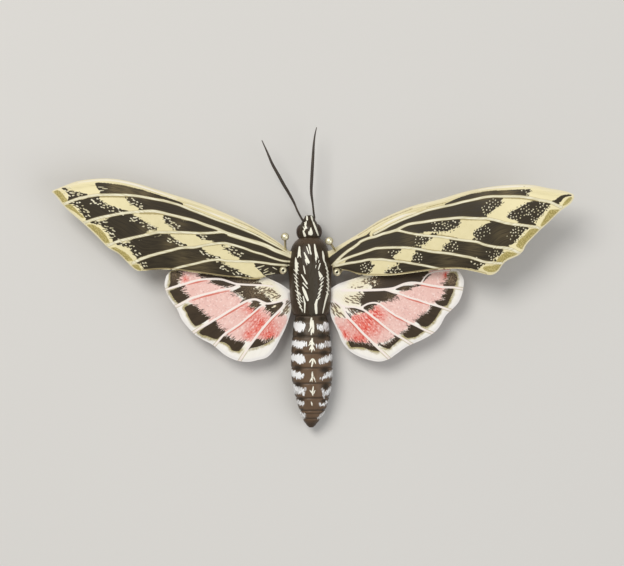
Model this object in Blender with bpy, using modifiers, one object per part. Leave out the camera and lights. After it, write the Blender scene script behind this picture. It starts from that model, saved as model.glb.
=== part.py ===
"""Painted hawk moth with spread wings, pinned at the roots of its forewings.

The moth lies on its belly. +Y runs towards the head, X across the wings and Z up,
with the origin on the flat of the belly, under the middle of the thorax.
Sizes below are in millimetres, and MM turns them into metres.
"""

import math

import bmesh
import bpy
from mathutils import Vector

MM = 0.001
NAME = "hawk_moth"

# Wings: outlines in plan, each edge from the root to the tip.
WING_THICKNESS = 0.3
WING_CAMBER = 0.045
SPANS_ACROSS = 4
STEPS_PER_POINT = 2
WING_FLAT = 4.0

LEFT_FORE_LEAD = (
    (-3.5, 5.6), (-5.55, 7.35), (-8.8, 9.5), (-13.1, 11.8), (-18.9, 14.3),
    (-25.75, 16.6), (-30.0, 18.0), (-33.65, 18.8), (-37.0, 18.9), (-40.3, 18.5),
    (-42.9, 17.6), (-44.45, 17.0),
)
LEFT_FORE_TRAIL = (
    (-3.97, 3.1), (-4.0, 2.2), (-4.5, 1.6), (-5.3, 1.7), (-6.4, 1.6), (-7.9, 1.25),
    (-9.3, 0.85), (-11.6, 1.0), (-15.0, 1.4), (-20.3, 2.25), (-25.0, 2.85),
    (-29.3, 2.7), (-30.5, 2.95), (-31.85, 4.25), (-33.4, 5.8), (-35.15, 6.9),
    (-37.2, 9.05), (-39.7, 11.5), (-42.2, 13.8), (-43.9, 15.95), (-44.7, 16.75),
)
RIGHT_FORE_LEAD = (
    (3.5, 5.55), (5.24, 6.54), (9.03, 8.71), (12.83, 11.0), (17.86, 13.0),
    (22.58, 14.1), (27.9, 15.5), (33.2, 16.22), (38.0, 16.26), (41.4, 15.57),
    (44.05, 15.03), (45.6, 14.45),
)
RIGHT_FORE_TRAIL = (
    (3.97, 3.0), (4.0, 1.9), (4.55, 1.15), (5.3, 1.4), (5.75, 2.1), (6.9, 1.94),
    (9.15, 1.23), (13.9, 1.05), (18.4, 1.5), (22.1, 1.88), (25.8, 1.98), (29.0, 1.34),
    (31.2, 0.8), (32.5, 1.35), (33.2, 2.35), (34.1, 3.22), (35.97, 4.05), (36.9, 4.85),
    (37.6, 6.06), (39.7, 8.2), (41.3, 9.63), (43.45, 11.65), (45.05, 12.75),
    (45.76, 13.8),
)
LEFT_HIND_LEAD = (
    (-3.95, -1.1), (-5.05, -0.17), (-6.8, 0.74), (-9.0, 1.7), (-12.5, 2.8),
    (-17.0, 3.4), (-21.0, 3.5), (-23.5, 3.2), (-24.53, 2.56),
)
LEFT_HIND_TRAIL = (
    (-3.85, -1.9), (-3.8, -3.0), (-3.62, -4.5), (-3.97, -6.15), (-4.7, -8.14),
    (-5.5, -9.75), (-6.5, -11.5), (-7.8, -12.84), (-9.4, -13.3), (-11.2, -13.6),
    (-13.2, -13.3), (-15.15, -12.35), (-17.35, -10.48), (-19.1, -9.5), (-20.6, -8.41),
    (-22.5, -6.12), (-23.4, -4.16), (-24.3, -2.89), (-25.1, -1.43), (-25.5, 0.1),
    (-25.24, 1.57), (-24.85, 2.2),
)
RIGHT_HIND_LEAD = (
    (3.95, -0.8), (5.1, -0.18), (7.1, 0.47), (9.1, 1.06), (12.5, 2.3), (17.0, 3.0),
    (21.5, 3.1), (24.3, 2.7), (25.65, 1.84),
)
RIGHT_HIND_TRAIL = (
    (3.85, -1.6), (3.85, -2.65), (3.75, -3.6), (3.62, -4.77), (3.8, -6.5), (4.7, -8.56),
    (5.4, -10.4), (6.5, -11.85), (8.1, -12.94), (10.0, -13.67), (11.85, -14.0),
    (13.5, -13.6), (14.8, -12.77), (16.8, -11.43), (19.3, -10.36), (21.4, -9.2),
    (22.6, -7.92), (23.6, -6.2), (24.75, -5.1), (25.9, -3.86), (26.6, -2.25),
    (26.9, -0.5), (26.8, 0.38), (26.15, 1.52),
)

# name, leading edge, trailing edge, height at the root, rise per millimetre outwards
WINGS = (
    ("left_forewing", LEFT_FORE_LEAD, LEFT_FORE_TRAIL, 4.9, 0.05),
    ("right_forewing", RIGHT_FORE_LEAD, RIGHT_FORE_TRAIL, 4.9, 0.15),
    ("left_hindwing", LEFT_HIND_LEAD, LEFT_HIND_TRAIL, 3.8, 0.03),
    ("right_hindwing", RIGHT_HIND_LEAD, RIGHT_HIND_TRAIL, 3.8, 0.03),
)

# Body: along Y, half width, underside and top. An underside below 0 is cut flat.
BODY_SIDES = 24
BODY_ROUNDNESS = 2.2
THORAX_RINGS = (
    (7.75, 1.2, 2.4, 4.9), (7.5, 2.1, 1.4, 5.9), (6.8, 2.9, 0.5, 6.7),
    (5.8, 3.3, -0.1, 7.15), (4.6, 3.55, -0.3, 7.4), (3.4, 3.78, -0.35, 7.5),
    (2.3, 3.86, -0.35, 7.5), (1.0, 3.72, -0.35, 7.45), (-0.5, 3.53, -0.35, 7.3),
    (-2.0, 3.45, -0.35, 7.1), (-3.6, 3.34, -0.35, 6.85), (-4.8, 3.2, -0.35, 6.6),
    (-5.45, 3.0, -0.3, 6.35), (-5.7, 2.6, 0.0, 5.9),
)
HEAD_RINGS = (
    (8.15, 1.35, 2.0, 4.6), (8.4, 1.6, 1.6, 5.1), (9.0, 1.7, 1.4, 5.45),
    (9.8, 1.5, 1.6, 5.4), (10.6, 1.15, 2.0, 5.1), (11.3, 0.85, 2.5, 4.8),
    (11.75, 0.66, 2.9, 4.5), (11.9, 0.4, 3.2, 4.2),
)
EYE_CENTRE = (1.55, 9.1, 3.6)
EYE_RADII = (0.8, 1.2, 1.1)

# Abdomen: half widths along Y, with a groove behind each ring.
ABDOMEN_FRONT = -6.0
ABDOMEN_TIP = -25.4
ABDOMEN_WIDTHS = (
    (-6.0, 2.75), (-7.0, 3.08), (-10.7, 3.47), (-13.3, 3.66), (-15.9, 3.64),
    (-18.2, 3.41), (-20.6, 2.85), (-22.75, 2.2), (-24.15, 1.4), (-25.0, 0.8),
    (-25.4, 0.35),
)
ABDOMEN_TOPS = (
    (-6.0, 5.6), (-7.0, 6.1), (-10.7, 6.5), (-15.0, 6.5), (-18.2, 6.1),
    (-20.6, 5.5), (-22.75, 4.7), (-24.15, 3.9), (-25.4, 2.9),
)
ABDOMEN_UNDERSIDES = (
    (-6.0, -0.1), (-7.0, -0.3), (-18.2, -0.3), (-20.6, -0.1), (-22.75, 0.5),
    (-24.15, 1.1), (-25.4, 2.1),
)
GROOVES = (-9.3, -12.25, -14.8, -17.5, -20.1, -22.3, -23.75)
GROOVE_DEPTH = 0.16
GROOVE_WIDTH = 0.28

# Antennae: routes from the head to the tip, in plan.
LEFT_ANTENNA = (
    (-1.42, 11.35), (-1.9, 12.5), (-2.6, 14.2), (-3.55, 16.0), (-4.3, 17.3),
    (-5.35, 19.3), (-6.25, 21.0), (-7.1, 23.1), (-8.0, 25.2),
)
RIGHT_ANTENNA = (
    (1.12, 11.4), (0.85, 12.3), (0.7, 14.0), (0.5, 16.0), (0.63, 18.3), (0.8, 20.6),
    (0.95, 22.5), (1.1, 24.3), (1.35, 26.0), (1.67, 27.3),
)
ANTENNA_RADIUS = 0.29
ANTENNA_BASE_RADIUS = 0.2
ANTENNA_TIP_RADIUS = 0.08
ANTENNA_HEIGHT = 4.6
ANTENNA_RISE = 0.5
ANTENNA_STEPS = 15

# Pins: the ball's centre and the hole in the wing that the shank goes through.
BALL_RADIUS = 0.7
SHANK_RADIUS = 0.2
PIN_POINT = 0.7
PIN_HOLE_RADIUS = 0.31
PIN_STEPS = 12
PINS = (
    # name, wing, ball, point in the hole, height of the pin's point
    ("left_front_pin", "left_forewing", (-4.22, 8.13, 8.3), (-4.22, 5.9, 4.95), 2.9),
    ("left_rear_pin", "left_forewing", (-4.66, 2.31, 6.3), (-4.66, 2.31, 4.95), 0.3),
    ("right_front_pin", "right_forewing", (3.43, 7.25, 8.0), (4.55, 5.5, 4.98), 2.9),
    ("right_rear_pin", "right_forewing", (4.7, 1.8, 6.3), (4.7, 1.8, 5.0), 0.3),
)

# Legs, folded close under the wings: hip, knee, heel and toe of the right side.
LEG_RADII = (0.34, 0.38, 0.3, 0.24, 0.16)
LEG_STEPS = 9
LEGS = (
    ("front_leg", ((3.35, 4.7, 1.1), (5.3, 5.2, 1.7), (7.2, 4.2, 0.5), (9.4, 3.1, 0.17))),
    ("middle_leg", ((3.6, 3.0, 1.1), (6.3, 3.4, 1.9), (9.4, 2.5, 0.5), (12.4, 1.7, 0.17))),
    ("hind_leg", ((3.35, -1.4, 1.1), (5.6, -1.8, 1.8), (8.0, -4.6, 0.5), (9.4, -7.8, 0.17))),
)

COLOURS = {
    "painted body": ((0.045, 0.032, 0.022), 0.55, 0.0),
    "painted wing": ((0.62, 0.53, 0.36), 0.55, 0.0),
    "painted hindwing": ((0.75, 0.42, 0.38), 0.55, 0.0),
    "dark antenna": ((0.05, 0.038, 0.027), 0.6, 0.0),
    "pale brass": ((0.75, 0.62, 0.38), 0.25, 1.0),
}


def clear_scene():
    for thing in list(bpy.data.objects):
        bpy.data.objects.remove(thing, do_unlink=True)


def collection(name):
    made = bpy.data.collections.new(name)
    bpy.context.scene.collection.children.link(made)
    return made


def material(name):
    colour, roughness, metallic = COLOURS[name]
    made = bpy.data.materials.new(name)
    made.use_nodes = True
    shader = made.node_tree.nodes["Principled BSDF"]
    shader.inputs["Base Color"].default_value = (*colour, 1.0)
    shader.inputs["Roughness"].default_value = roughness
    shader.inputs["Metallic"].default_value = metallic
    made.diffuse_color = (*colour, 1.0)
    return made


def link(mesh, name, parts, look):
    """An object of this mesh, shaded smooth, in the collection of the parts."""
    thing = bpy.data.objects.new(name, mesh)
    mesh.materials.append(look)
    mesh.shade_smooth()
    mesh.set_sharp_from_angle(angle=math.radians(35))
    parts.objects.link(thing)
    return thing


def cutter(name, mesh, guides):
    thing = bpy.data.objects.new(name, mesh)
    thing.hide_render = True
    thing.display_type = "WIRE"
    guides.objects.link(thing)
    return thing


def smooth_path(points, steps):
    """A Catmull-Rom curve through the points, with this many steps between two of them."""
    route = [Vector(point) for point in points]
    ends = [route[0] * 2 - route[1], *route, route[-1] * 2 - route[-2]]
    curve = []
    for before, start, end, after in zip(ends, ends[1:], ends[2:], ends[3:]):
        for step in range(steps):
            t = step / steps
            bend = (before * 2 - start * 5 + end * 4 - after) * t * t
            twist = (start * 3 - before - end * 3 + after) * t * t * t
            curve.append((start * 2 + (end - before) * t + bend + twist) / 2)
    curve.append(route[-1])
    return curve


def distances(path):
    """How far along its length each point of a path lies, from 0 to 1."""
    along = [0.0]
    for start, end in zip(path, path[1:]):
        along.append(along[-1] + (end - start).length)
    return [value / along[-1] for value in along]


def at(path, along, share):
    """The point at this share of a path's length."""
    for i in range(1, len(path)):
        if share <= along[i] or i == len(path) - 1:
            step = (share - along[i - 1]) / (along[i] - along[i - 1])
            return path[i - 1].lerp(path[i], step)


def reading(pairs, where):
    """A smooth reading between (place, value) pairs that run down in place."""
    for (start, low), (end, high) in zip(pairs, pairs[1:]):
        if start >= where >= end:
            t = (start - where) / (start - end)
            return low + (high - low) * t * t * (3 - 2 * t) * 0.4 + (high - low) * t * 0.6
    return pairs[-1][1]


def wing_mesh(lead, trail, root_height, rise):
    """An open cambered sheet between the leading and the trailing edge."""
    front = smooth_path(lead, STEPS_PER_POINT * 4)
    front_along = distances(front)
    rear = smooth_path(trail, STEPS_PER_POINT)
    shape = bmesh.new()
    rows = []
    for edge, share in zip(rear, distances(rear)):
        start = at(front, front_along, share)
        chord = (edge - start).length
        row = []
        for k in range(SPANS_ACROSS + 1):
            v = k / SPANS_ACROSS
            place = start.lerp(edge, v)
            height = root_height + rise * max(0.0, abs(place.x) - WING_FLAT)
            height += WING_CAMBER * chord * 4 * v * (1 - v)
            row.append(shape.verts.new((place.x * MM, place.y * MM, height * MM)))
        rows.append(row)
    for row, beyond in zip(rows, rows[1:]):
        for k in range(SPANS_ACROSS):
            shape.faces.new((row[k], row[k + 1], beyond[k + 1], beyond[k]))
    bmesh.ops.recalc_face_normals(shape, faces=shape.faces)
    mesh = bpy.data.meshes.new("wing")
    shape.to_mesh(mesh)
    shape.free()
    return mesh


def wing(name, lead, trail, root_height, rise, parts, look):
    thing = link(wing_mesh(lead, trail, root_height, rise), name, parts, look)
    plate = thing.modifiers.new("thickness", "SOLIDIFY")
    plate.thickness = WING_THICKNESS * MM
    plate.offset = 0.0
    return thing


def drill(thing, hole):
    cut = thing.modifiers.new("hole", "BOOLEAN")
    cut.operation = "DIFFERENCE"
    cut.solver = "EXACT"
    cut.object = hole


def ring_points(where, half_width, low, high):
    """A rounded section across the body, cut flat where it would pass below the belly."""
    middle = (low + high) / 2
    half_height = (high - low) / 2
    points = []
    for k in range(BODY_SIDES):
        angle = 2 * math.pi * k / BODY_SIDES
        across, up = math.sin(angle), math.cos(angle)
        x = half_width * math.copysign(abs(across) ** (2 / BODY_ROUNDNESS), across)
        z = middle + half_height * math.copysign(abs(up) ** (2 / BODY_ROUNDNESS), up)
        points.append((x * MM, where * MM, max(0.0, z) * MM))
    return points


def loft(rings, name):
    """A closed body through the rings, with a flat end at the first and the last."""
    shape = bmesh.new()
    rows = [[shape.verts.new(point) for point in ring_points(*ring)] for ring in rings]
    for row, beyond in zip(rows, rows[1:]):
        for k in range(BODY_SIDES):
            other = (k + 1) % BODY_SIDES
            shape.faces.new((row[k], row[other], beyond[other], beyond[k]))
    shape.faces.new(rows[0])
    shape.faces.new(rows[-1])
    bmesh.ops.recalc_face_normals(shape, faces=shape.faces)
    mesh = bpy.data.meshes.new(name)
    shape.to_mesh(mesh)
    shape.free()
    return mesh


def abdomen_rings():
    """Rings that swell between the grooves and step in at each of them."""
    places = {ABDOMEN_FRONT, ABDOMEN_TIP, ABDOMEN_TIP + 0.15, ABDOMEN_TIP + 0.5}
    edges = (ABDOMEN_FRONT, *GROOVES, ABDOMEN_TIP)
    for groove in GROOVES:
        places.update((groove - GROOVE_WIDTH, groove, groove + GROOVE_WIDTH))
    for start, end in zip(edges, edges[1:-1]):
        places.add((start + end) / 2)
    rings = []
    for where in sorted(places, reverse=True):
        nearest = min(abs(where - groove) for groove in GROOVES)
        dip = GROOVE_DEPTH * max(0.0, 1 - nearest / GROOVE_WIDTH)
        half_width = reading(ABDOMEN_WIDTHS, where) - dip
        low = reading(ABDOMEN_UNDERSIDES, where)
        high = reading(ABDOMEN_TOPS, where) - dip
        rings.append((where, half_width, low, high))
    return rings


def ellipsoid(centre, radii, name):
    shape = bmesh.new()
    bmesh.ops.create_uvsphere(shape, u_segments=16, v_segments=10, radius=1.0)
    bmesh.ops.scale(shape, vec=Vector(radii) * MM, verts=shape.verts)
    bmesh.ops.translate(shape, vec=Vector(centre) * MM, verts=shape.verts)
    mesh = bpy.data.meshes.new(name)
    shape.to_mesh(mesh)
    shape.free()
    return mesh


def head(parts, guides, look):
    """The head, with an eye grown together with it on each side."""
    thing = link(loft(HEAD_RINGS, "head"), "head", parts, look)
    for side in (-1, 1):
        x, y, z = EYE_CENTRE
        eye = cutter("eye", ellipsoid((side * x, y, z), EYE_RADII, "eye"), guides)
        join = thing.modifiers.new("eye", "BOOLEAN")
        join.operation = "UNION"
        join.solver = "EXACT"
        join.object = eye


def tube(name, places, radii, parts, look):
    """A round tapering rod along the places, with closed ends."""
    curve = bpy.data.curves.new(name, "CURVE")
    curve.dimensions = "3D"
    curve.bevel_depth = MM
    curve.bevel_resolution = 1
    curve.use_fill_caps = True
    spline = curve.splines.new("POLY")
    spline.points.add(len(places) - 1)
    for point, place, radius in zip(spline.points, places, radii):
        point.co = (place[0] * MM, place[1] * MM, place[2] * MM, 1.0)
        point.radius = radius
    curve.materials.append(look)
    thing = bpy.data.objects.new(name, curve)
    parts.objects.link(thing)


def antenna(name, route, parts, look):
    """A spindle: thin at the head, thickest past the middle and fine at the tip."""
    path = smooth_path(route, 6)
    along = distances(path)
    places = []
    radii = []
    for step in range(ANTENNA_STEPS):
        share = step / (ANTENNA_STEPS - 1)
        place = at(path, along, share)
        height = ANTENNA_HEIGHT + ANTENNA_RISE * math.sin(math.pi * share)
        places.append((place.x, place.y, height))
        swell = math.sin(math.pi * min(1.0, share / 1.1) ** 0.9)
        floor = ANTENNA_BASE_RADIUS + (ANTENNA_TIP_RADIUS - ANTENNA_BASE_RADIUS) * share
        radii.append(max(floor, ANTENNA_RADIUS * swell))
    tube(name, places, radii, parts, look)


def leg(name, joints, side, parts, look):
    """A bent leg whose foot lies along the surface."""
    places = []
    for start, end in zip(joints, joints[1:]):
        for step in range(LEG_STEPS // 3):
            places.append(Vector(start).lerp(Vector(end), step * 3 / LEG_STEPS))
    places.append(Vector(joints[-1]))
    radii = []
    for i in range(len(places)):
        share = i / (len(places) - 1) * (len(LEG_RADII) - 1)
        k = min(int(share), len(LEG_RADII) - 2)
        radii.append(LEG_RADII[k] + (LEG_RADII[k + 1] - LEG_RADII[k]) * (share - k))
    placed = [(side * place.x, place.y, place.z) for place in places]
    tube(name, placed, radii, parts, look)


def pin_mesh(length):
    """The half profile of a ball-headed pin, from the top of the ball to the point."""
    profile = [(0.0, BALL_RADIUS)]
    neck = math.pi - math.asin(SHANK_RADIUS / BALL_RADIUS)
    for k in range(1, 8):
        angle = neck * k / 7
        profile.append((BALL_RADIUS * math.sin(angle), BALL_RADIUS * math.cos(angle)))
    profile.append((SHANK_RADIUS, PIN_POINT - length))
    profile.append((0.0, -length))
    shape = bmesh.new()
    verts = [shape.verts.new((x * MM, 0.0, z * MM)) for x, z in profile]
    for start, end in zip(verts, verts[1:]):
        shape.edges.new((start, end))
    mesh = bpy.data.meshes.new("pin")
    shape.to_mesh(mesh)
    shape.free()
    return mesh


def pin(name, ball, hole, point_height, wing_object, parts, guides, look):
    """A pin turned about its own axis, leaning from its ball to its point."""
    axis = (Vector(ball) - Vector(hole)).normalized()
    length = (ball[2] - point_height) / axis.z
    thing = bpy.data.objects.new(name, pin_mesh(length))
    thing.data.materials.append(look)
    thing.location = Vector(ball) * MM
    thing.rotation_mode = "QUATERNION"
    thing.rotation_quaternion = axis.to_track_quat("Z", "X")
    parts.objects.link(thing)
    turned = thing.modifiers.new("turned", "SCREW")
    turned.steps = PIN_STEPS
    turned.render_steps = PIN_STEPS
    turned.use_merge_vertices = True
    turned.merge_threshold = 0.000001
    turned.use_normal_calculate = True
    turned.use_smooth_shade = True
    shape = bmesh.new()
    bmesh.ops.create_cone(
        shape, cap_ends=True, segments=PIN_STEPS, radius1=PIN_HOLE_RADIUS * MM,
        radius2=PIN_HOLE_RADIUS * MM, depth=2 * MM,
    )
    mesh = bpy.data.meshes.new("pin_hole")
    shape.to_mesh(mesh)
    shape.free()
    bore = cutter(name + "_hole", mesh, guides)
    bore.location = Vector(hole) * MM
    bore.rotation_mode = "QUATERNION"
    bore.rotation_quaternion = axis.to_track_quat("Z", "X")
    drill(wing_object, bore)


def build():
    clear_scene()
    parts = collection(NAME)
    guides = collection("cutters")
    body = material("painted body")
    dark = material("dark antenna")
    brass = material("pale brass")
    looks = {"fore": material("painted wing"), "hind": material("painted hindwing")}
    head(parts, guides, body)
    link(loft(THORAX_RINGS, "thorax"), "thorax", parts, body)
    link(loft(abdomen_rings(), "abdomen"), "abdomen", parts, body)
    wings = {}
    for name, lead, trail, root_height, rise in WINGS:
        look = looks["fore" if "fore" in name else "hind"]
        wings[name] = wing(name, lead, trail, root_height, rise, parts, look)
    antenna("left_antenna", LEFT_ANTENNA, parts, dark)
    antenna("right_antenna", RIGHT_ANTENNA, parts, dark)
    for name, joints in LEGS:
        leg("left_" + name, joints, -1, parts, dark)
        leg("right_" + name, joints, 1, parts, dark)
    for name, through, ball, hole, point_height in PINS:
        pin(name, ball, hole, point_height, wings[through], parts, guides, brass)


build()
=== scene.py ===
"""Painted hawk moth: fine wings, body, antennae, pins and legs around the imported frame."""
import math
import random

import bpy
import numpy as np
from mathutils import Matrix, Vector


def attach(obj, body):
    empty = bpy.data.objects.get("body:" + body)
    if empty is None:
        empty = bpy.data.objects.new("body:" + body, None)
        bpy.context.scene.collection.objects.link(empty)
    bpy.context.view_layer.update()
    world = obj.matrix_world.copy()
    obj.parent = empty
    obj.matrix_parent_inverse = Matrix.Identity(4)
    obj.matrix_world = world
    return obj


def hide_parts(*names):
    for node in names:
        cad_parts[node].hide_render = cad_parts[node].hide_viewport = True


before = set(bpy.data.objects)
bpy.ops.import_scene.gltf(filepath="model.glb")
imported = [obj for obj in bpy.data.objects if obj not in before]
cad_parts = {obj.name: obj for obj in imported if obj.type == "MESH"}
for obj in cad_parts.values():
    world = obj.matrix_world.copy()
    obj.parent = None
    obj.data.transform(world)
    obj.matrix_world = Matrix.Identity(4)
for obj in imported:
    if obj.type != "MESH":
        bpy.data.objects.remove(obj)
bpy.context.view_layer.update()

MM = 0.001
REACH = 1.2  # how far, in mm, a painted field is worked out past its own edge
TRIES = 5  # places looked at for each stroke of a ragged edge

# ---------------------------------------------------------------- outlines, in mm, root to tip
# Each wing: its leading and trailing edge, the height of its root, how much it rises a mm outward,
# and the cells of its grid.
OUTLINES = {
    "left_forewing": {
        "lead": (
            (-3.5, 5.6), (-5.55, 7.35), (-8.8, 9.5), (-13.1, 11.8), (-18.9, 14.3), (-25.75, 16.6),
            (-30, 18), (-33.65, 18.8), (-37, 18.9), (-40.3, 18.5), (-42.9, 17.6), (-44.45, 17.0),
        ),
        "trail": (
            (-3.97, 3.1), (-4.0, 2.2), (-4.5, 1.6), (-5.3, 1.7), (-6.4, 1.6), (-7.9, 1.25), (-9.3, 0.85),
            (-11.6, 1.0), (-15, 1.4), (-20.3, 2.25), (-25, 2.85), (-29.3, 2.7), (-30.5, 2.95),
            (-31.85, 4.25), (-33.4, 5.8), (-35.15, 6.9), (-37.2, 9.05), (-39.7, 11.5), (-42.2, 13.8),
            (-43.9, 15.95), (-44.7, 16.75),
        ),
        "root": 4.9, "rise": 0.05, "cells": (440, 141),
    },
    "right_forewing": {
        "lead": (
            (3.5, 5.55), (5.24, 6.54), (9.03, 8.71), (12.83, 11.0), (17.86, 13.0), (22.58, 14.1),
            (27.9, 15.5), (33.2, 16.22), (38.0, 16.26), (41.4, 15.57), (44.05, 15.03), (45.6, 14.45),
        ),
        "trail": (
            (3.97, 3.0), (4.0, 1.9), (4.55, 1.15), (5.3, 1.4), (5.75, 2.1), (6.9, 1.94), (9.15, 1.23),
            (13.9, 1.05), (18.4, 1.5), (22.1, 1.88), (25.8, 1.98), (29.0, 1.34), (31.2, 0.8),
            (32.5, 1.35),
            (33.2, 2.35), (34.1, 3.22), (35.97, 4.05), (36.9, 4.85), (37.6, 6.06), (39.7, 8.2),
            (41.3, 9.63), (43.45, 11.65), (45.05, 12.75), (45.76, 13.8),
        ),
        "root": 4.9, "rise": 0.15, "cells": (440, 141),
    },
    "left_hindwing": {
        "lead": (
            (-3.7, -1.15), (-5.05, -0.17), (-6.8, 0.74), (-9.0, 1.7), (-12.5, 2.8), (-17, 3.4),
            (-21, 3.5), (-23.5, 3.2), (-24.53, 2.56),
        ),
        "trail": (
            (-3.6, -1.9), (-3.5, -3.0), (-3.42, -4.4), (-3.85, -6.1), (-4.65, -8.14), (-5.5, -9.75),
            (-6.5, -11.5), (-7.8, -12.84), (-9.4, -13.3), (-11.2, -13.6), (-13.2, -13.3),
            (-15.15, -12.35),
            (-17.35, -10.48), (-19.1, -9.5), (-20.6, -8.41), (-22.5, -6.12), (-23.4, -4.16),
            (-24.3, -2.89), (-25.1, -1.43), (-25.5, 0.1), (-25.24, 1.57), (-24.85, 2.2),
        ),
        "root": 3.8, "rise": 0.03, "cells": (300, 151),
    },
    "right_hindwing": {
        "lead": (
            (3.7, -0.95), (5.1, -0.18), (7.1, 0.47), (9.1, 1.06), (12.5, 2.3), (17, 3.0), (21.5, 3.1),
            (24.3, 2.7), (25.65, 1.84),
        ),
        "trail": (
            (3.6, -1.6), (3.55, -2.65), (3.42, -3.6), (3.36, -4.77), (3.65, -6.2), (4.65, -8.5),
            (5.4, -10.4), (6.5, -11.85), (8.1, -12.94), (10.0, -13.67), (11.85, -14.0), (13.5, -13.6),
            (14.8, -12.77), (16.8, -11.43), (19.3, -10.36), (21.4, -9.2), (22.6, -7.92), (23.6, -6.2),
            (24.75, -5.1), (25.9, -3.86), (26.6, -2.25), (26.9, -0.5), (26.8, 0.38), (26.15, 1.52),
        ),
        "root": 3.8, "rise": 0.03, "cells": (300, 151),
    },
}
WING_FLAT = 4.0  # the wings start to rise this far from the middle
WING_CAMBER = 0.045
ROOT_TUCK = 0.42  # the visible wing runs this far into the thorax
EDGE_HALF = 0.035  # half the thickness at the rim, and how much it grows inward
EDGE_GROWTH = 0.115
EDGE_WIDTH = 0.5
VEIN_RELIEF = 0.03

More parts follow.
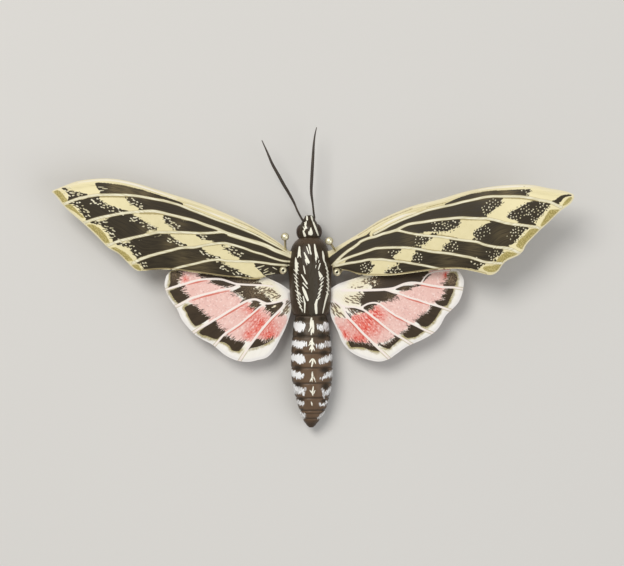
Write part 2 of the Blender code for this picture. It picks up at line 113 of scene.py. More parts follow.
# ---------------------------------------------------------------- painted marks, in mm
# Veins: (width at the root end, width at the margin end, points).
VEINS = {
    "left_forewing": (
        (0.24, 0.42, (
            (-3.6, 5.3), (-4.6, 5.95), (-6.2, 6.85), (-7.8, 7.75), (-9.4, 8.62), (-11.6, 9.6),
            (-13.9, 10.55), (-16.2, 11.4), (-18.6, 12.4), (-20.5, 13.15),
            (-22.4, 13.98), (-23.5, 14.35), (-25.3, 14.85), (-27.3, 15.25), (-29.6, 15.7),
            (-31.65, 15.95),
            (-35.6, 16.05), (-37.6, 15.95), (-38.95, 15.7), (-40.3, 15.4), (-41.6, 14.95), (-42.4, 14.6),
        )),
        (0.42, 0.4, (
            (-3.0, 4.55), (-4.0, 4.98), (-5.0, 5.43), (-6.0, 5.82), (-7.0, 6.3), (-8.0, 6.75),
            (-9.9, 7.55), (-12.1, 8.2),
            (-14.3, 9.0), (-16.1, 9.8), (-18.1, 10.5), (-20.1, 11.3), (-22.1, 11.85), (-24.1, 12.35),
            (-26.1, 12.9), (-27.8, 13.1), (-31.1, 12.9), (-32.5, 12.75), (-34.1, 12.5), (-35.8, 12.2),
            (-37.5, 11.8), (-38.9, 11.35), (-39.4, 11.2),
        )),
        (0.6, 0.62, (
            (-3.0, 4.6), (-4.5, 5.25), (-6.0, 5.85), (-7.0, 6.4), (-8.0, 6.85), (-9.0, 7.2),
            (-10.0, 7.5), (-12.0, 8.12),
            (-14.0, 8.8),
        )),
        (0.36, 0.4, (
            (-14.7, 9.2), (-15.6, 9.2), (-16.8, 9.1), (-18.8, 9.05), (-22.1, 9.25), (-26.1, 9.35),
            (-27.8, 9.05),
            (-29.9, 8.65), (-31.9, 8.25), (-33.2, 7.95), (-34.3, 7.55), (-35.2, 7.2),
        )),
        (0.26, 0.44, (
            (-3.2, 3.78), (-4.9, 4.0), (-6.5, 4.52), (-8.2, 5.18), (-9.8, 5.65), (-11.4, 6.3),
            (-13.3, 6.9),
            (-14.8, 7.25), (-16.2, 7.2), (-18.2, 6.95), (-20.2, 6.6), (-22.2, 6.6), (-24.2, 6.15),
            (-26.2, 5.7), (-28.2, 5.15), (-29.6, 4.65), (-30.8, 4.1),
        )),
        (0.32, 0.34, (
            (-3.4, 3.08), (-4.9, 3.24), (-6.5, 3.42), (-8.1, 3.7), (-9.8, 3.9), (-11.4, 4.0), (-13, 4.05),
            (-14.8, 4.2), (-16.3, 4.4), (-18.3, 4.15), (-20.3, 3.7), (-22.3, 3.3), (-23.9, 2.85),
        )),
    ),
    "right_forewing": (
        (0.3, 0.42, (
            (11.3, 8.35), (12.2, 8.78), (13.2, 9.25), (14.0, 9.72), (15.1, 10.2), (16.4, 10.75),
            (18.6, 11.55), (20.2, 12.12), (21.8, 12.5), (23.8, 12.9),
            (25.2, 13.18), (26.6, 13.53), (27.9, 13.77), (29.3, 14.04), (30.6, 14.29), (31.9, 14.38),
            (33.25, 14.35), (35, 14.3), (36.7, 14.2), (38.5, 13.9), (40, 13.5), (41.5, 13.2),
            (43.5, 12.2),
        )),
        (0.4, 0.38, (
            (3.9, 2.95), (4.5, 3.55), (5.2, 4.25), (6.0, 4.95), (6.8, 5.55), (7.6, 6.05), (8.4, 6.6),
            (9, 7.1),
            (10.2, 7.58), (11.5, 7.88), (12.7, 8.3), (14, 8.6), (15.2, 8.95), (15.9, 9.3), (17.25, 9.87),
            (18.6, 10.08), (19.9, 10.22), (21.2, 10.4), (22.5, 10.56), (23.9, 10.66), (25.25, 10.77),
            (26.6, 10.8), (27.9, 10.7), (29.2, 10.6), (30.6, 10.57), (31.9, 10.33), (33.2, 9.95),
            (34, 9.7), (35.3, 9.46), (36.6, 9.3), (37.9, 9.1), (39.2, 8.9), (39.9, 8.5),
        )),
        (0.3, 0.4, (
            (15.3, 8.85), (15.9, 8.76), (17.2, 8.4), (18.5, 8.13), (19.8, 7.9), (21.1, 7.73),
            (22.5, 7.63), (23.8, 7.4), (25.1, 7.16), (26.5, 6.93), (27.8, 6.75), (29.1, 6.5), (30.4, 6.0),
            (32.4, 5.57), (34, 5.4), (35.2, 5.05), (35.9, 4.64), (36.5, 4.45),
        )),
        (0.34, 0.38, (
            (4.1, 3.0), (4.8, 3.4), (5.5, 3.8), (6.46, 4.22), (7.7, 4.62), (8.9, 5.0), (10.2, 5.4),
            (11.5, 5.8), (12.7, 5.87), (14, 5.9), (15.2, 5.88), (16.5, 5.85), (17.7, 5.7), (19.3, 5.45),
            (21.1, 5.05), (22.4, 4.88), (23.7, 4.72), (25.1, 4.48), (26.4, 4.18), (27.7, 3.92),
            (29, 3.5), (30.1, 3.1), (31.5, 2.9), (33.2, 2.75),
        )),
        (0.36, 0.3, (
            (4.1, 2.85), (4.9, 2.98), (6.4, 3.28), (7.7, 3.45), (8.9, 3.62), (10.2, 3.87), (11.5, 3.9),
            (12.7, 3.87), (13.95, 3.66), (15.2, 3.5), (16.4, 3.35), (17.7, 3.07), (19.7, 2.7), (21, 2.4),
            (22.3, 2.1), (23, 1.97),
        )),
    ),
    "left_hindwing": (
        (0.3, 0.36, (
            (-6.6, -0.45), (-8.4, -0.22), (-9.7, -0.16), (-10.8, -0.1), (-11.9, -0.02), (-13, 0.1),
            (-13.9, 0.4),
            (-14.8, 0.74), (-15.6, 0.97), (-16.6, 1.06), (-17.9, 1.05), (-19.1, 0.97), (-20.4, 0.72),
            (-21.65, 0.37), (-22.9, 0.02), (-24.15, -0.33), (-25.2, -0.65),
        )),
        (0.28, 0.42, (
            (-12.4, 0.03), (-13.2, -0.38), (-13.8, -0.6), (-14.8, -0.8), (-16, -0.99), (-17.3, -1.34),
            (-18.6, -1.63), (-19.7, -1.92), (-20.7, -2.2), (-21.7, -2.7), (-23, -3.35), (-23.6, -3.6),
        )),
        (0.34, 0.38, (
            (-4.0, -2.75), (-5.47, -3.1), (-6.5, -3.34), (-7.5, -3.45), (-8.1, -3.3), (-8.96, -2.9),
            (-9.7, -2.67), (-10.6, -2.76), (-11.5, -3.05), (-12.5, -3.6), (-13.75, -4.3), (-14.9, -4.96),
            (-16, -5.62), (-17, -6.17), (-18, -6.77), (-19.3, -7.44), (-20.2, -8.0),
        )),
        (0.26, 0.36, (
            (-7.6, -3.4), (-8.2, -3.62), (-9.1, -4.17), (-10, -4.96), (-11.3, -6.0), (-12.5, -6.98),
            (-13.2, -7.4), (-14.3, -8.1), (-15.3, -8.77), (-16.2, -9.75), (-16.8, -10.4),
        )),
        (0.42, 0.38, (
            (-4.5, -3.0), (-4.6, -3.6), (-5, -4.25), (-5.75, -4.98), (-6.5, -5.66), (-7.3, -6.46),
            (-8.05, -7.3), (-8.8, -8.18), (-9.6, -9.17), (-10.35, -10.16), (-11.1, -11.15),
            (-12.1, -12.6),
        )),
    ),
    "right_hindwing": (
        (0.46, 0.32, (
            (5.6, -1.36), (7.4, -1.42), (8.8, -1.44), (10.1, -1.43), (11.3, -1.43), (12.6, -1.4),
            (13.9, -1.3),
            (14.7, -1.15), (15.5, -0.85), (16.5, -0.47), (17.5, -0.3), (18.5, -0.32), (19.5, -0.47),
            (20.97, -0.81), (21.96, -0.96), (22.95, -1.14), (23.95, -1.2), (24.95, -1.24), (26.2, -1.45),
        )),
        (0.26, 0.36, (
            (12.9, -1.45), (13.6, -1.6), (14.6, -1.95), (15.9, -2.3), (16.93, -2.73), (17.9, -3.07),
            (18.9, -3.34), (19.9, -3.73), (20.9, -4.07), (21.9, -4.34), (22.9, -4.67), (24.1, -5.1),
        )),
        (0.28, 0.36, (
            (8.6, -4.5), (9.15, -4.26), (10, -3.84), (11.05, -3.67), (11.9, -3.82), (12.5, -4.2),
            (13.3, -4.85), (14.2, -5.5), (14.9, -6.0), (15.9, -6.5), (16.85, -7.05), (17.8, -7.5),
            (18.8, -8.03), (19.8, -8.56), (21.0, -9.1),
        )),
        (0.32, 0.36, (
            (3.8, -3.0), (4.5, -3.5), (5.2, -3.95), (5.9, -4.25), (6.9, -4.3), (7.8, -4.38),
            (8.5, -4.6), (9.27, -4.9), (10, -5.4),
            (10.75, -6.04), (11.7, -6.8), (12.7, -7.7), (13.7, -8.5), (14.7, -9.26), (15.7, -9.85),
            (16.5, -10.36), (17.3, -10.9),
        )),
        (0.42, 0.36, (
            (5.7, -4.2), (5.9, -4.8), (6.25, -5.6), (6.7, -6.35), (7.5, -7.2), (8.2, -8.0), (8.9, -8.8),
            (9.6, -9.5), (10.4, -10.3), (11.1, -11.06), (11.85, -11.8), (12.6, -12.5), (13.2, -13.1),
        )),
        (0.24, 0.2, (
            (19.35, -0.45), (19.7, 0.05), (20.05, 0.58), (20.65, 1.12), (21.4, 1.42), (22.4, 1.62),
            (23.6, 1.7),
        )),
    ),
}

# Dark patches: (outline, stretches of it that are ragged, as (first point, last point)).
PATCHES = {
    "left_forewing": (
        ((
            (-36.98, 18.2), (-35, 18.1), (-33.9, 17.95), (-32.7, 17.78), (-31.5, 17.5), (-30.4, 17.2),
            (-29, 16.85), (-28, 16.5), (-26.7, 16.1), (-25.36, 15.62), (-24, 15.17), (-23, 14.75),
            (-22.04, 14.35), (-22.7, 14.5), (-24, 14.97), (-25.4, 15.4), (-26.7, 15.6), (-28, 15.9),
            (-29, 16.06), (-30.3, 16.26), (-31.7, 16.4), (-34.6, 16.4), (-35.8, 16.46), (-36.5, 16.9),
            (-36.9, 17.5),
        ), ()),
        ((
            (-41.2, 14.86), (-40, 14.97), (-39.05, 15.09), (-38.25, 15.27), (-37.2, 15.4), (-36.4, 15.37),
            (-36, 14.96), (-35.06, 14.4), (-34.1, 13.98), (-33.06, 13.63), (-31.87, 13.14),
            (-32.4, 12.94),
            (-33.7, 12.7), (-35.1, 12.46), (-36.4, 12.2), (-37.8, 12.04), (-38.8, 12.0), (-39.2, 12.4),
            (-39.6, 13.15), (-40.1, 13.83), (-40.7, 14.4),
        ), ((3, 10), (16, 21))),
        ((
            (-31.6, 15.2), (-31, 15.4), (-29.7, 15.4), (-28, 15.1), (-26.7, 14.84), (-25.4, 14.6),
            (-24.05, 14.16), (-22.7, 13.8), (-21.4, 13.37), (-20.1, 12.88), (-18.7, 12.3), (-17.4, 11.75),
            (-16.1, 11.2), (-15, 10.85), (-13.7, 10.35), (-12.1, 9.7), (-11, 9.2), (-9.9, 8.7),
            (-8.8, 8.2),
            (-7.7, 7.4), (-6.6, 6.85), (-5.04, 6.0), (-5.6, 6.15), (-6.7, 6.65), (-7.8, 7.2),
            (-8.9, 7.66),
            (-10.4, 8.05), (-11, 8.22), (-12.1, 8.52), (-13.2, 8.97), (-14.3, 9.4), (-15.45, 9.8),
            (-16.8, 10.28), (-18.1, 10.77), (-19.4, 11.25), (-20.8, 11.7), (-22.1, 12.0), (-23.4, 12.4),
            (-24.75, 12.76), (-26.1, 13.06), (-27, 13.4), (-28.7, 13.4), (-29.7, 13.7), (-30.6, 14.2),
            (-31.2, 14.6),
        ), ((41, 46),)),
        ((
            (-37.8, 11.17), (-36.4, 11.4), (-35.1, 11.7), (-33.8, 12.03), (-32.4, 12.27), (-31.1, 12.4),
            (-30, 12.15), (-29.2, 11.6), (-28.4, 11.06), (-27.7, 10.67), (-26.8, 10.3), (-26.5, 9.97),
            (-27.5, 9.8), (-28.4, 9.54), (-29.8, 9.06), (-31.1, 8.8), (-32.5, 8.5), (-33.4, 8.2),
            (-33.8, 8.07), (-34.4, 8.35), (-34.9, 9.3), (-35.3, 9.85), (-35.9, 10.5), (-36.7, 10.95),
        ), ((5, 11), (19, 24))),
        ((
            (-24.9, 12.03), (-23.7, 11.87), (-22.1, 11.24), (-20.8, 10.94), (-19.5, 10.65),
            (-18.15, 10.15),
            (-16.8, 9.65), (-16.3, 9.4), (-17.5, 9.36), (-18.8, 9.38), (-20.1, 9.5), (-21.4, 9.6),
            (-22.2, 9.65), (-23.2, 9.9), (-24.4, 10.47), (-25.05, 11.16), (-25.4, 11.97),
        ), ((12, 17),)),
        ((
            (-33.4, 7.3), (-31.8, 7.6), (-30.5, 7.95), (-29.2, 8.1), (-28.2, 8.4), (-26.8, 8.57),
            (-25.5, 8.8), (-24.2, 8.7), (-23.8, 8.3), (-22.8, 7.75), (-22.1, 7.34), (-21.7, 7.1),
            (-22.9, 6.95), (-24.2, 6.65), (-25.5, 6.3), (-26.85, 6.02), (-28.2, 5.7), (-29.6, 5.3),
            (-30.2, 5.1), (-30.7, 5.7), (-31.2, 6.55), (-31.8, 7.0),
        ), ((7, 11), (18, 22))),
        ((
            (-19.5, 8.63), (-18.2, 8.67), (-16.3, 8.65), (-15.05, 8.67), (-13.75, 8.25), (-12.1, 7.7),
            (-11, 7.35), (-10, 7.0), (-8.9, 6.65), (-7.8, 6.14), (-6.7, 5.68), (-5.6, 5.3), (-4.5, 4.84),
            (-3.2, 4.3), (-3.2, 4.08), (-4.5, 4.24), (-5.6, 4.48), (-6.7, 4.94), (-7.8, 5.3),
            (-8.9, 5.65),
            (-10, 6.02), (-11, 6.4), (-12.7, 6.98), (-13.8, 7.33), (-15.05, 7.57), (-16.4, 7.7),
            (-17.8, 7.8), (-18.8, 8.1),
        ), ((26, 28),)),
        ((
            (-29.2, 4.5), (-28, 4.8), (-26.7, 5.1), (-25.3, 5.4), (-24, 5.7), (-22.9, 6.0), (-21.6, 6.15),
            (-20.2, 6.15), (-18.9, 6.3), (-18.1, 5.77), (-17.2, 5.2), (-15.7, 4.86), (-16.8, 4.65),
            (-18.2, 4.45), (-19.6, 4.15), (-20.9, 3.85), (-22.3, 3.55), (-23.6, 3.2), (-24.7, 2.95),
            (-25.9, 2.9), (-27, 2.8), (-28, 2.75), (-28.5, 2.8), (-29, 3.16), (-29.4, 3.8), (-29.4, 4.37),
        ), ((8, 11), (22, 26))),
        ((
            (-14.9, 6.65), (-14.3, 6.48), (-13.25, 6.42), (-12.2, 6.12), (-11.1, 5.8), (-10, 5.4),
            (-8.9, 5.05), (-7.85, 4.7), (-6.8, 4.32), (-5.7, 4.02), (-4.4, 3.72), (-3.6, 3.58),
            (-3.6, 3.38), (-4.6, 3.5), (-5.7, 3.66),
            (-6.8, 3.75), (-7.85, 3.92), (-8.95, 4.08), (-10, 4.22), (-11.1, 4.4), (-12.2, 4.6),
            (-13.3, 5.15), (-13.8, 5.6), (-14.65, 6.26),
        ), ((20, 24),)),
        ((
            (-23.7, 2.65), (-22.1, 3.03), (-20.3, 3.42), (-18.2, 3.8), (-16.2, 3.95), (-15.5, 3.75),
            (-14.4, 3.3), (-13, 2.75), (-12.2, 2.07), (-11.15, 1.7), (-10.1, 1.05), (-12.3, 1.0),
            (-14.95, 1.4), (-17.6, 1.8), (-20.3, 2.33), (-22, 2.5),
        ), ((5, 10),)),
        ((
            (-9.5, 3.38), (-8.4, 3.26), (-6.75, 3.14), (-5.7, 2.98), (-4.3, 2.86), (-3.3, 2.8),
            (-3.2, 1.8), (-4.2, 1.2),
            (-5.8, 1.2), (-7.2, 1.1), (-7.7, 1.3), (-8.2, 1.6), (-8.6, 2.1), (-9.1, 2.6), (-9.5, 3.0),
        ), ()),
        ((
            (-42.9, 17.4), (-42.2, 17.4), (-41.8, 16.9), (-40.9, 16.77), (-40, 16.6), (-39.2, 16.4),
            (-39, 16.15), (-40, 15.95), (-40.6, 15.75), (-41.6, 15.35), (-41.8, 15.6), (-41.8, 16.25),
            (-42.3, 16.8), (-42.8, 17.15),
        ), ((1, 6),)),
    ),
    "right_forewing": (
        ((
            (3.4, 4.4), (4.5, 5.18), (5.2, 5.7), (6.4, 6.5), (7.56, 7.2), (8.4, 7.58), (9.2, 7.88),
            (9.9, 8.17), (10.4, 8.55), (10.8, 8.9), (10.3, 8.1), (9.5, 7.75), (9.25, 7.55), (8.8, 7.2),
            (7.9, 6.6),
            (7.0, 5.98), (6.1, 5.3), (5.03, 4.42), (4.3, 3.8), (3.95, 3.4), (3.4, 3.1), (3.1, 3.8),
        ), ()),
        ((
            (23.9, 13.27), (25.2, 13.98), (26.6, 14.48), (27.9, 14.85), (29.25, 15.08), (30.6, 15.3),
            (31.9, 15.4), (33.25, 15.4), (35, 15.45), (36.7, 15.49), (37.8, 15.46), (38.4, 15.3),
            (38.3, 14.99), (37.4, 14.62), (36.7, 14.55), (35.2, 14.63), (33.25, 14.7), (31.9, 14.75),
            (30.6, 14.65), (29.3, 14.34), (27.9, 14.04), (26.6, 13.8), (25.2, 13.38), (24.55, 13.2),
        ), ((10, 13),)),
        ((
            (11.3, 8.22), (12.2, 8.64), (13.2, 9.11), (14, 9.6), (15.1, 10.07), (15.9, 10.47),
            (17.25, 10.97), (18.6, 11.4), (19.9, 11.84), (21.2, 12.14), (22.6, 12.44), (23.9, 12.67),
            (25.25, 12.97), (26.6, 13.27), (27.9, 13.5), (29.3, 13.74), (30.6, 13.98), (31.9, 14.05),
            (33, 14.0), (33.4, 13.4), (33.1, 12.85), (32.6, 12.45), (31.9, 11.94), (31, 11.36),
            (30.3, 11.0), (29.2, 11.0), (27.9, 11.1), (26.6, 11.14), (25.2, 11.05), (23.9, 10.94),
            (22.5, 10.82), (21.2, 10.68), (19.9, 10.48), (18.6, 10.33), (17.25, 10.1), (16.3, 9.76),
            (15.3, 9.3), (14.1, 9.0), (13.2, 8.7), (12.2, 8.36),
        ), ((18, 24),)),
        ((
            (34.2, 10.7), (34.8, 11.6), (35.9, 12.1), (37.1, 12.75), (37.9, 13.2), (38.8, 13.2),
            (39.8, 12.95), (41.4, 12.6), (40.8, 11.85), (40.3, 11.1), (39.75, 10.6), (39, 9.9),
            (38.6, 9.57), (37.6, 9.66), (36.6, 9.85), (35.7, 10.1), (35, 10.3),
        ), ((0, 4), (7, 12))),
        ((
            (16.15, 9.15), (16.6, 9.35), (17.4, 9.55), (18.5, 9.72), (19.8, 9.9), (21.2, 10.08),
            (22.5, 10.22), (23.9, 10.33), (25.2, 10.36), (26, 10.28), (26.2, 9.87), (25.5, 9.15),
            (24.3, 8.64), (23.2, 8.5), (21.1, 8.5), (19.8, 8.5), (18.4, 8.6), (17.1, 8.85),
        ), ((9, 14),)),
        ((
            (28.3, 7.95), (28.7, 8.4), (29.25, 8.85), (30, 9.18), (30.4, 9.57), (31.4, 9.84), (32.8, 9.7),
            (34.4, 9.3), (35.2, 9.15), (36.5, 8.95), (37.5, 8.77), (37.2, 8.33), (36.2, 7.16),
            (35.2, 6.1),
            (34.4, 5.9), (33.6, 5.98), (32.5, 6.05), (31.1, 6.25), (29.9, 6.6), (29.1, 7.0), (28.6, 7.48),
        ), ((19, 25), (10, 13))),
        ((
            (5.65, 4.08), (6.46, 4.78), (6.95, 5.15), (7.7, 5.75), (8.5, 6.35), (9.25, 6.87),
            (10.25, 7.2),
            (11.5, 7.5), (12.8, 7.93), (14.05, 8.22), (15.3, 8.35), (16.5, 8.15), (17.8, 7.8), (19, 7.55),
            (20.7, 7.4), (20.8, 7.14), (20.2, 6.5), (19.85, 6.3), (18.35, 6.2), (17, 6.3), (15.2, 6.3),
            (14, 6.3), (12.7, 6.25), (11.5, 6.1), (10.2, 5.78), (8.9, 5.34), (7.7, 4.9), (6.6, 4.5),
        ), ((13, 18),)),
        ((
            (23.2, 5.67), (23.8, 6.3), (24.9, 6.76), (25.7, 6.9), (26.5, 6.7), (27.1, 6.5), (27.8, 6.35),
            (29.1, 6.05), (30.4, 5.65), (31.75, 5.26), (32.9, 5.05), (33.4, 4.8), (32.9, 4.16),
            (31.9, 3.65), (31.3, 3.33), (30.35, 3.5), (29, 3.9), (27.7, 4.3), (26.4, 4.58), (25.1, 4.82),
            (24.3, 4.97), (23.7, 5.2),
        ), ((21, 25), (11, 14))),
        ((
            (6.4, 3.55), (7.0, 3.85), (7.7, 4.2), (8.9, 4.6), (10.2, 5.0), (11.5, 5.35), (12.7, 5.48),
            (14, 5.5),
            (15, 5.5), (15.6, 5.2), (14.7, 4.45), (14.2, 4.15), (12.7, 4.22), (11.4, 4.3), (10.2, 4.15),
            (8.9, 3.97), (7.7, 3.82),
        ), ((8, 11),)),
        ((
            (17.8, 4.14), (18.4, 4.78), (19.2, 4.98), (20.2, 4.95), (21.4, 4.7), (22.3, 4.56),
            (23.6, 4.4), (25, 4.12), (26.3, 3.85), (27.6, 3.5), (28.9, 3.1), (30.1, 2.75), (29.8, 2.46),
            (29, 1.76), (28.3, 1.85), (27.7, 2.0), (26.3, 2.1), (25, 2.1), (23.7, 2.14), (22.5, 2.3),
            (21.4, 2.6), (20.1, 2.95), (18.9, 3.3), (18.1, 3.55),
        ), ((22, 26), (11, 13))),
        ((
            (4.7, 2.72), (6.4, 2.98), (7.65, 3.12), (8.9, 3.3), (9.9, 3.42), (11.1, 2.84), (10.6, 2.05),
            (10.2, 1.6), (9.1, 1.28), (7.6, 1.7), (6.4, 2.05), (5.4, 2.4),
        ), ((4, 8),)),
        ((
            (3.3, 2.75), (3.95, 2.62), (4.4, 2.45), (5.0, 2.42), (5.5, 2.3), (6.0, 1.9), (5.5, 1.0),
            (4.5, 0.7), (3.4, 1.2),
        ), ()),
        ((
            (13, 1.64), (14.2, 2.3), (15.5, 2.87), (17, 2.9), (18.3, 2.65), (19.65, 2.35), (21, 2.1),
            (22, 1.95), (20.3, 1.75), (19.2, 1.65), (17.6, 1.5), (16.4, 1.4), (15.1, 1.35), (13.9, 1.34),
        ), ((13, 16),)),
        ((
            (42.2, 13.2), (42.7, 13.67), (43.3, 14.1), (44, 14.37), (45.1, 14.4), (45.3, 14.2),
            (44.5, 14.0), (43.9, 13.7), (43.5, 13.18), (42.9, 13.0), (42.3, 13.0),
        ), ()),
    ),
    "left_hindwing": (
        ((
            (-24.4, 2.3), (-23.9, 2.5), (-22.6, 2.6), (-22.3, 2.2), (-22.6, 1.6), (-23.1, 1.0),
            (-23.1, 0.4), (-24.2, -0.05), (-24.75, -0.25), (-24.5, 0.5), (-24.5, 1.4),
        ), ((2, 6),)),
        ((
            (-19.2, 1.5), (-17.6, 1.2), (-16.2, 1.1), (-15, 0.85), (-14, 0.5), (-13, 0.15), (-11.9, 0.15),
            (-10.4, 0.2), (-9.2, 0.45), (-9, 1.2), (-12, 1.9), (-16, 2.4), (-19.4, 2.6),
        ), ((12, 14), (7, 9))),
        ((
            (-24.6, -0.94), (-23.8, -0.65), (-22.8, -0.3), (-22.1, -0.2), (-22.4, -0.86), (-21.8, -1.37),
            (-21.2, -1.9), (-21.7, -2.3), (-22.45, -2.67), (-23.1, -3.0), (-23.4, -2.9), (-24, -2.15),
            (-24.4, -1.4),
        ), ((3, 6),)),
        ((
            (-22.1, -3.94), (-21.4, -3.45), (-20.6, -3.28), (-19.7, -3.9), (-19, -4.7), (-18.3, -5.27),
            (-17.5, -5.7), (-18.05, -6.1), (-19, -6.7), (-19.8, -7.05), (-20.3, -7.1), (-20.9, -6.4),
            (-21.4, -5.5), (-21.7, -4.75),
        ), ((2, 6),)),
        ((
            (-19.6, -8.24), (-18.8, -7.6), (-17.8, -6.96), (-16.65, -6.3), (-16.4, -6.74), (-16.05, -7.6),
            (-15.1, -8.0), (-15.5, -8.6), (-16.1, -9.1), (-16.6, -9.5), (-17.4, -9.3), (-18.3, -8.9),
            (-19.1, -8.75),
        ), ((3, 6),)),
        ((
            (-16.1, -9.8), (-15.1, -9.05), (-13.8, -9.6), (-12.8, -9.9), (-11.6, -10.1), (-12, -10.9),
            (-12.6, -11.6), (-13.1, -11.7), (-13.9, -11.5), (-14.4, -10.7), (-15.1, -10.2),
        ), ((1, 4),)),
        ((
            (-11.1, -11.3), (-10.5, -10.6), (-9.9, -9.98), (-9.2, -9.55), (-8.6, -9.95), (-7.6, -9.9),
            (-7.1, -9.6), (-6.4, -9.17), (-6.85, -9.75), (-7.6, -10.3), (-8.6, -10.75), (-9.8, -11.1),
            (-10.65, -11.2),
        ), ((3, 7),)),
        ((
            (-17.5, 0.67), (-16.65, 0.75), (-15.4, 0.62), (-14.15, 0.16), (-13.4, -0.17), (-14.2, -0.33),
            (-15.4, -0.25), (-16.05, -0.1), (-16.8, 0.15), (-17.3, 0.35),
        ), ((4, 10),)),
        ((
            (-13.7, -1.2), (-12.9, -0.8), (-12.05, -0.4), (-11.2, -0.36), (-10.2, -0.5), (-9.2, -0.8),
            (-8.5, -1.5), (-7.8, -2.1), (-7.1, -2.7), (-7.2, -3.1), (-8.2, -2.93), (-9.3, -2.5),
            (-10, -2.4), (-10.8, -2.6), (-11.45, -2.92), (-11.8, -2.35), (-12.5, -1.8), (-13.2, -1.5),
        ), ((5, 8), (14, 18))),
        ((
            (-10.6, -3.6), (-10.2, -3.2), (-9.7, -3.05), (-9, -3.4), (-8.9, -3.75), (-9.4, -4.1),
            (-10.2, -4.0), (-10.85, -3.9),
        ), ((5, 8),)),
        ((
            (-8, -4.3), (-7.6, -3.8), (-6.5, -3.7), (-5.2, -3.4), (-5.1, -3.75), (-5.7, -4.46),
            (-6.3, -5.1), (-6.7, -5.35), (-7.05, -4.96), (-7.5, -4.7),
        ), ((7, 10),)),
    ),
    "right_hindwing": (
        ((
            (23.9, 1.1), (25, 1.3), (25.6, 0.9), (25.8, 0.2), (25.5, -0.4), (25.4, -0.9), (24.2, -0.95),
            (23.3, -0.8), (23.6, -0.2), (24, 0.4),
        ), ((7, 10),)),
        ((
            (10.9, -0.95), (12.4, -1.05), (13.8, -1.02), (14.85, -0.93), (15.7, -0.64), (16.2, -0.34),
            (17.2, -0.18), (18.3, -0.14), (19.3, -0.24), (19.8, 0.2), (20.55, 1.1), (20, 2.2),
            (12.5, 1.5),
            (10.5, 0.5),
        ), ((12, 14), (8, 10))),
        ((
            (23.45, -1.6), (24.95, -1.6), (24.9, -2.2), (24.5, -3.08), (24.05, -4.07), (23.8, -4.4),
            (23.2, -4.43), (22.4, -4.16), (21.7, -3.7), (22.4, -3.4), (23.3, -3.2), (22.95, -2.67),
            (23.6, -2.3),
        ), ((8, 13),)),
        ((
            (21.05, -4.3), (21.85, -4.6), (22.85, -4.98), (22.5, -5.54), (22, -6.4), (21.3, -7.27),
            (20.5, -7.94), (20, -8.06), (19.3, -7.85), (18.7, -7.4), (18.2, -6.96), (18.85, -6.6),
            (19.4, -5.97), (20.1, -5.74), (20.6, -5.25), (20.9, -4.75),
        ), ((10, 16),)),
        ((
            (17.45, -7.7), (18.3, -8.0), (19.2, -8.54), (19.65, -8.8), (19.1, -9.23), (18.5, -9.7),
            (17.5, -9.94), (16.7, -9.92), (16.2, -9.54), (16, -9.3), (15.4, -9.15), (16.3, -8.9),
            (16.9, -8.43), (16.95, -7.93),
        ), ((10, 14),)),
        ((
            (11.5, -10.8), (12.35, -10.97), (13.1, -10.9), (13.85, -10.5), (14.6, -9.9), (15, -9.7),
            (15.5, -10.1), (14.85, -10.77), (14.1, -11.37), (13.7, -11.8), (13.1, -11.7), (12.3, -11.35),
        ), ((0, 5),)),
        ((
            (6.5, -10.2), (7.4, -10.4), (8.2, -10.65), (9.2, -10.65), (9.9, -10.8), (10.9, -11.3),
            (11.85, -12.1), (11.1, -12.1), (10.1, -11.9), (9.1, -11.5), (8.15, -11.4), (7.4, -11.4),
            (6.95, -11.4), (6.6, -10.8),
        ), ((0, 5),)),
        ((
            (15, -1.44), (16, -1.0), (17, -0.8), (18.1, -0.75), (18.97, -0.7), (18, -1.06), (17.5, -1.43),
            (16.8, -1.66), (15.8, -1.64),
        ), ((4, 8),)),
        ((
            (9.35, -2.13), (9.6, -1.95), (10.3, -1.84), (11.3, -1.86), (12.6, -1.7), (13.6, -1.85),
            (14.3, -2.1), (15.1, -2.25), (13.8, -3.35), (11.8, -3.44), (11.05, -3.42), (10.3, -3.54),
            (9.5, -3.77), (9, -4.0), (8.7, -3.63), (8.55, -3.0),
        ), ((7, 9), (13, 16))),
        ((
            (9.5, -4.5), (10, -4.16), (11.05, -4.1), (10.5, -4.8), (9.85, -4.9),
        ), ((2, 4),)),
    ),
}

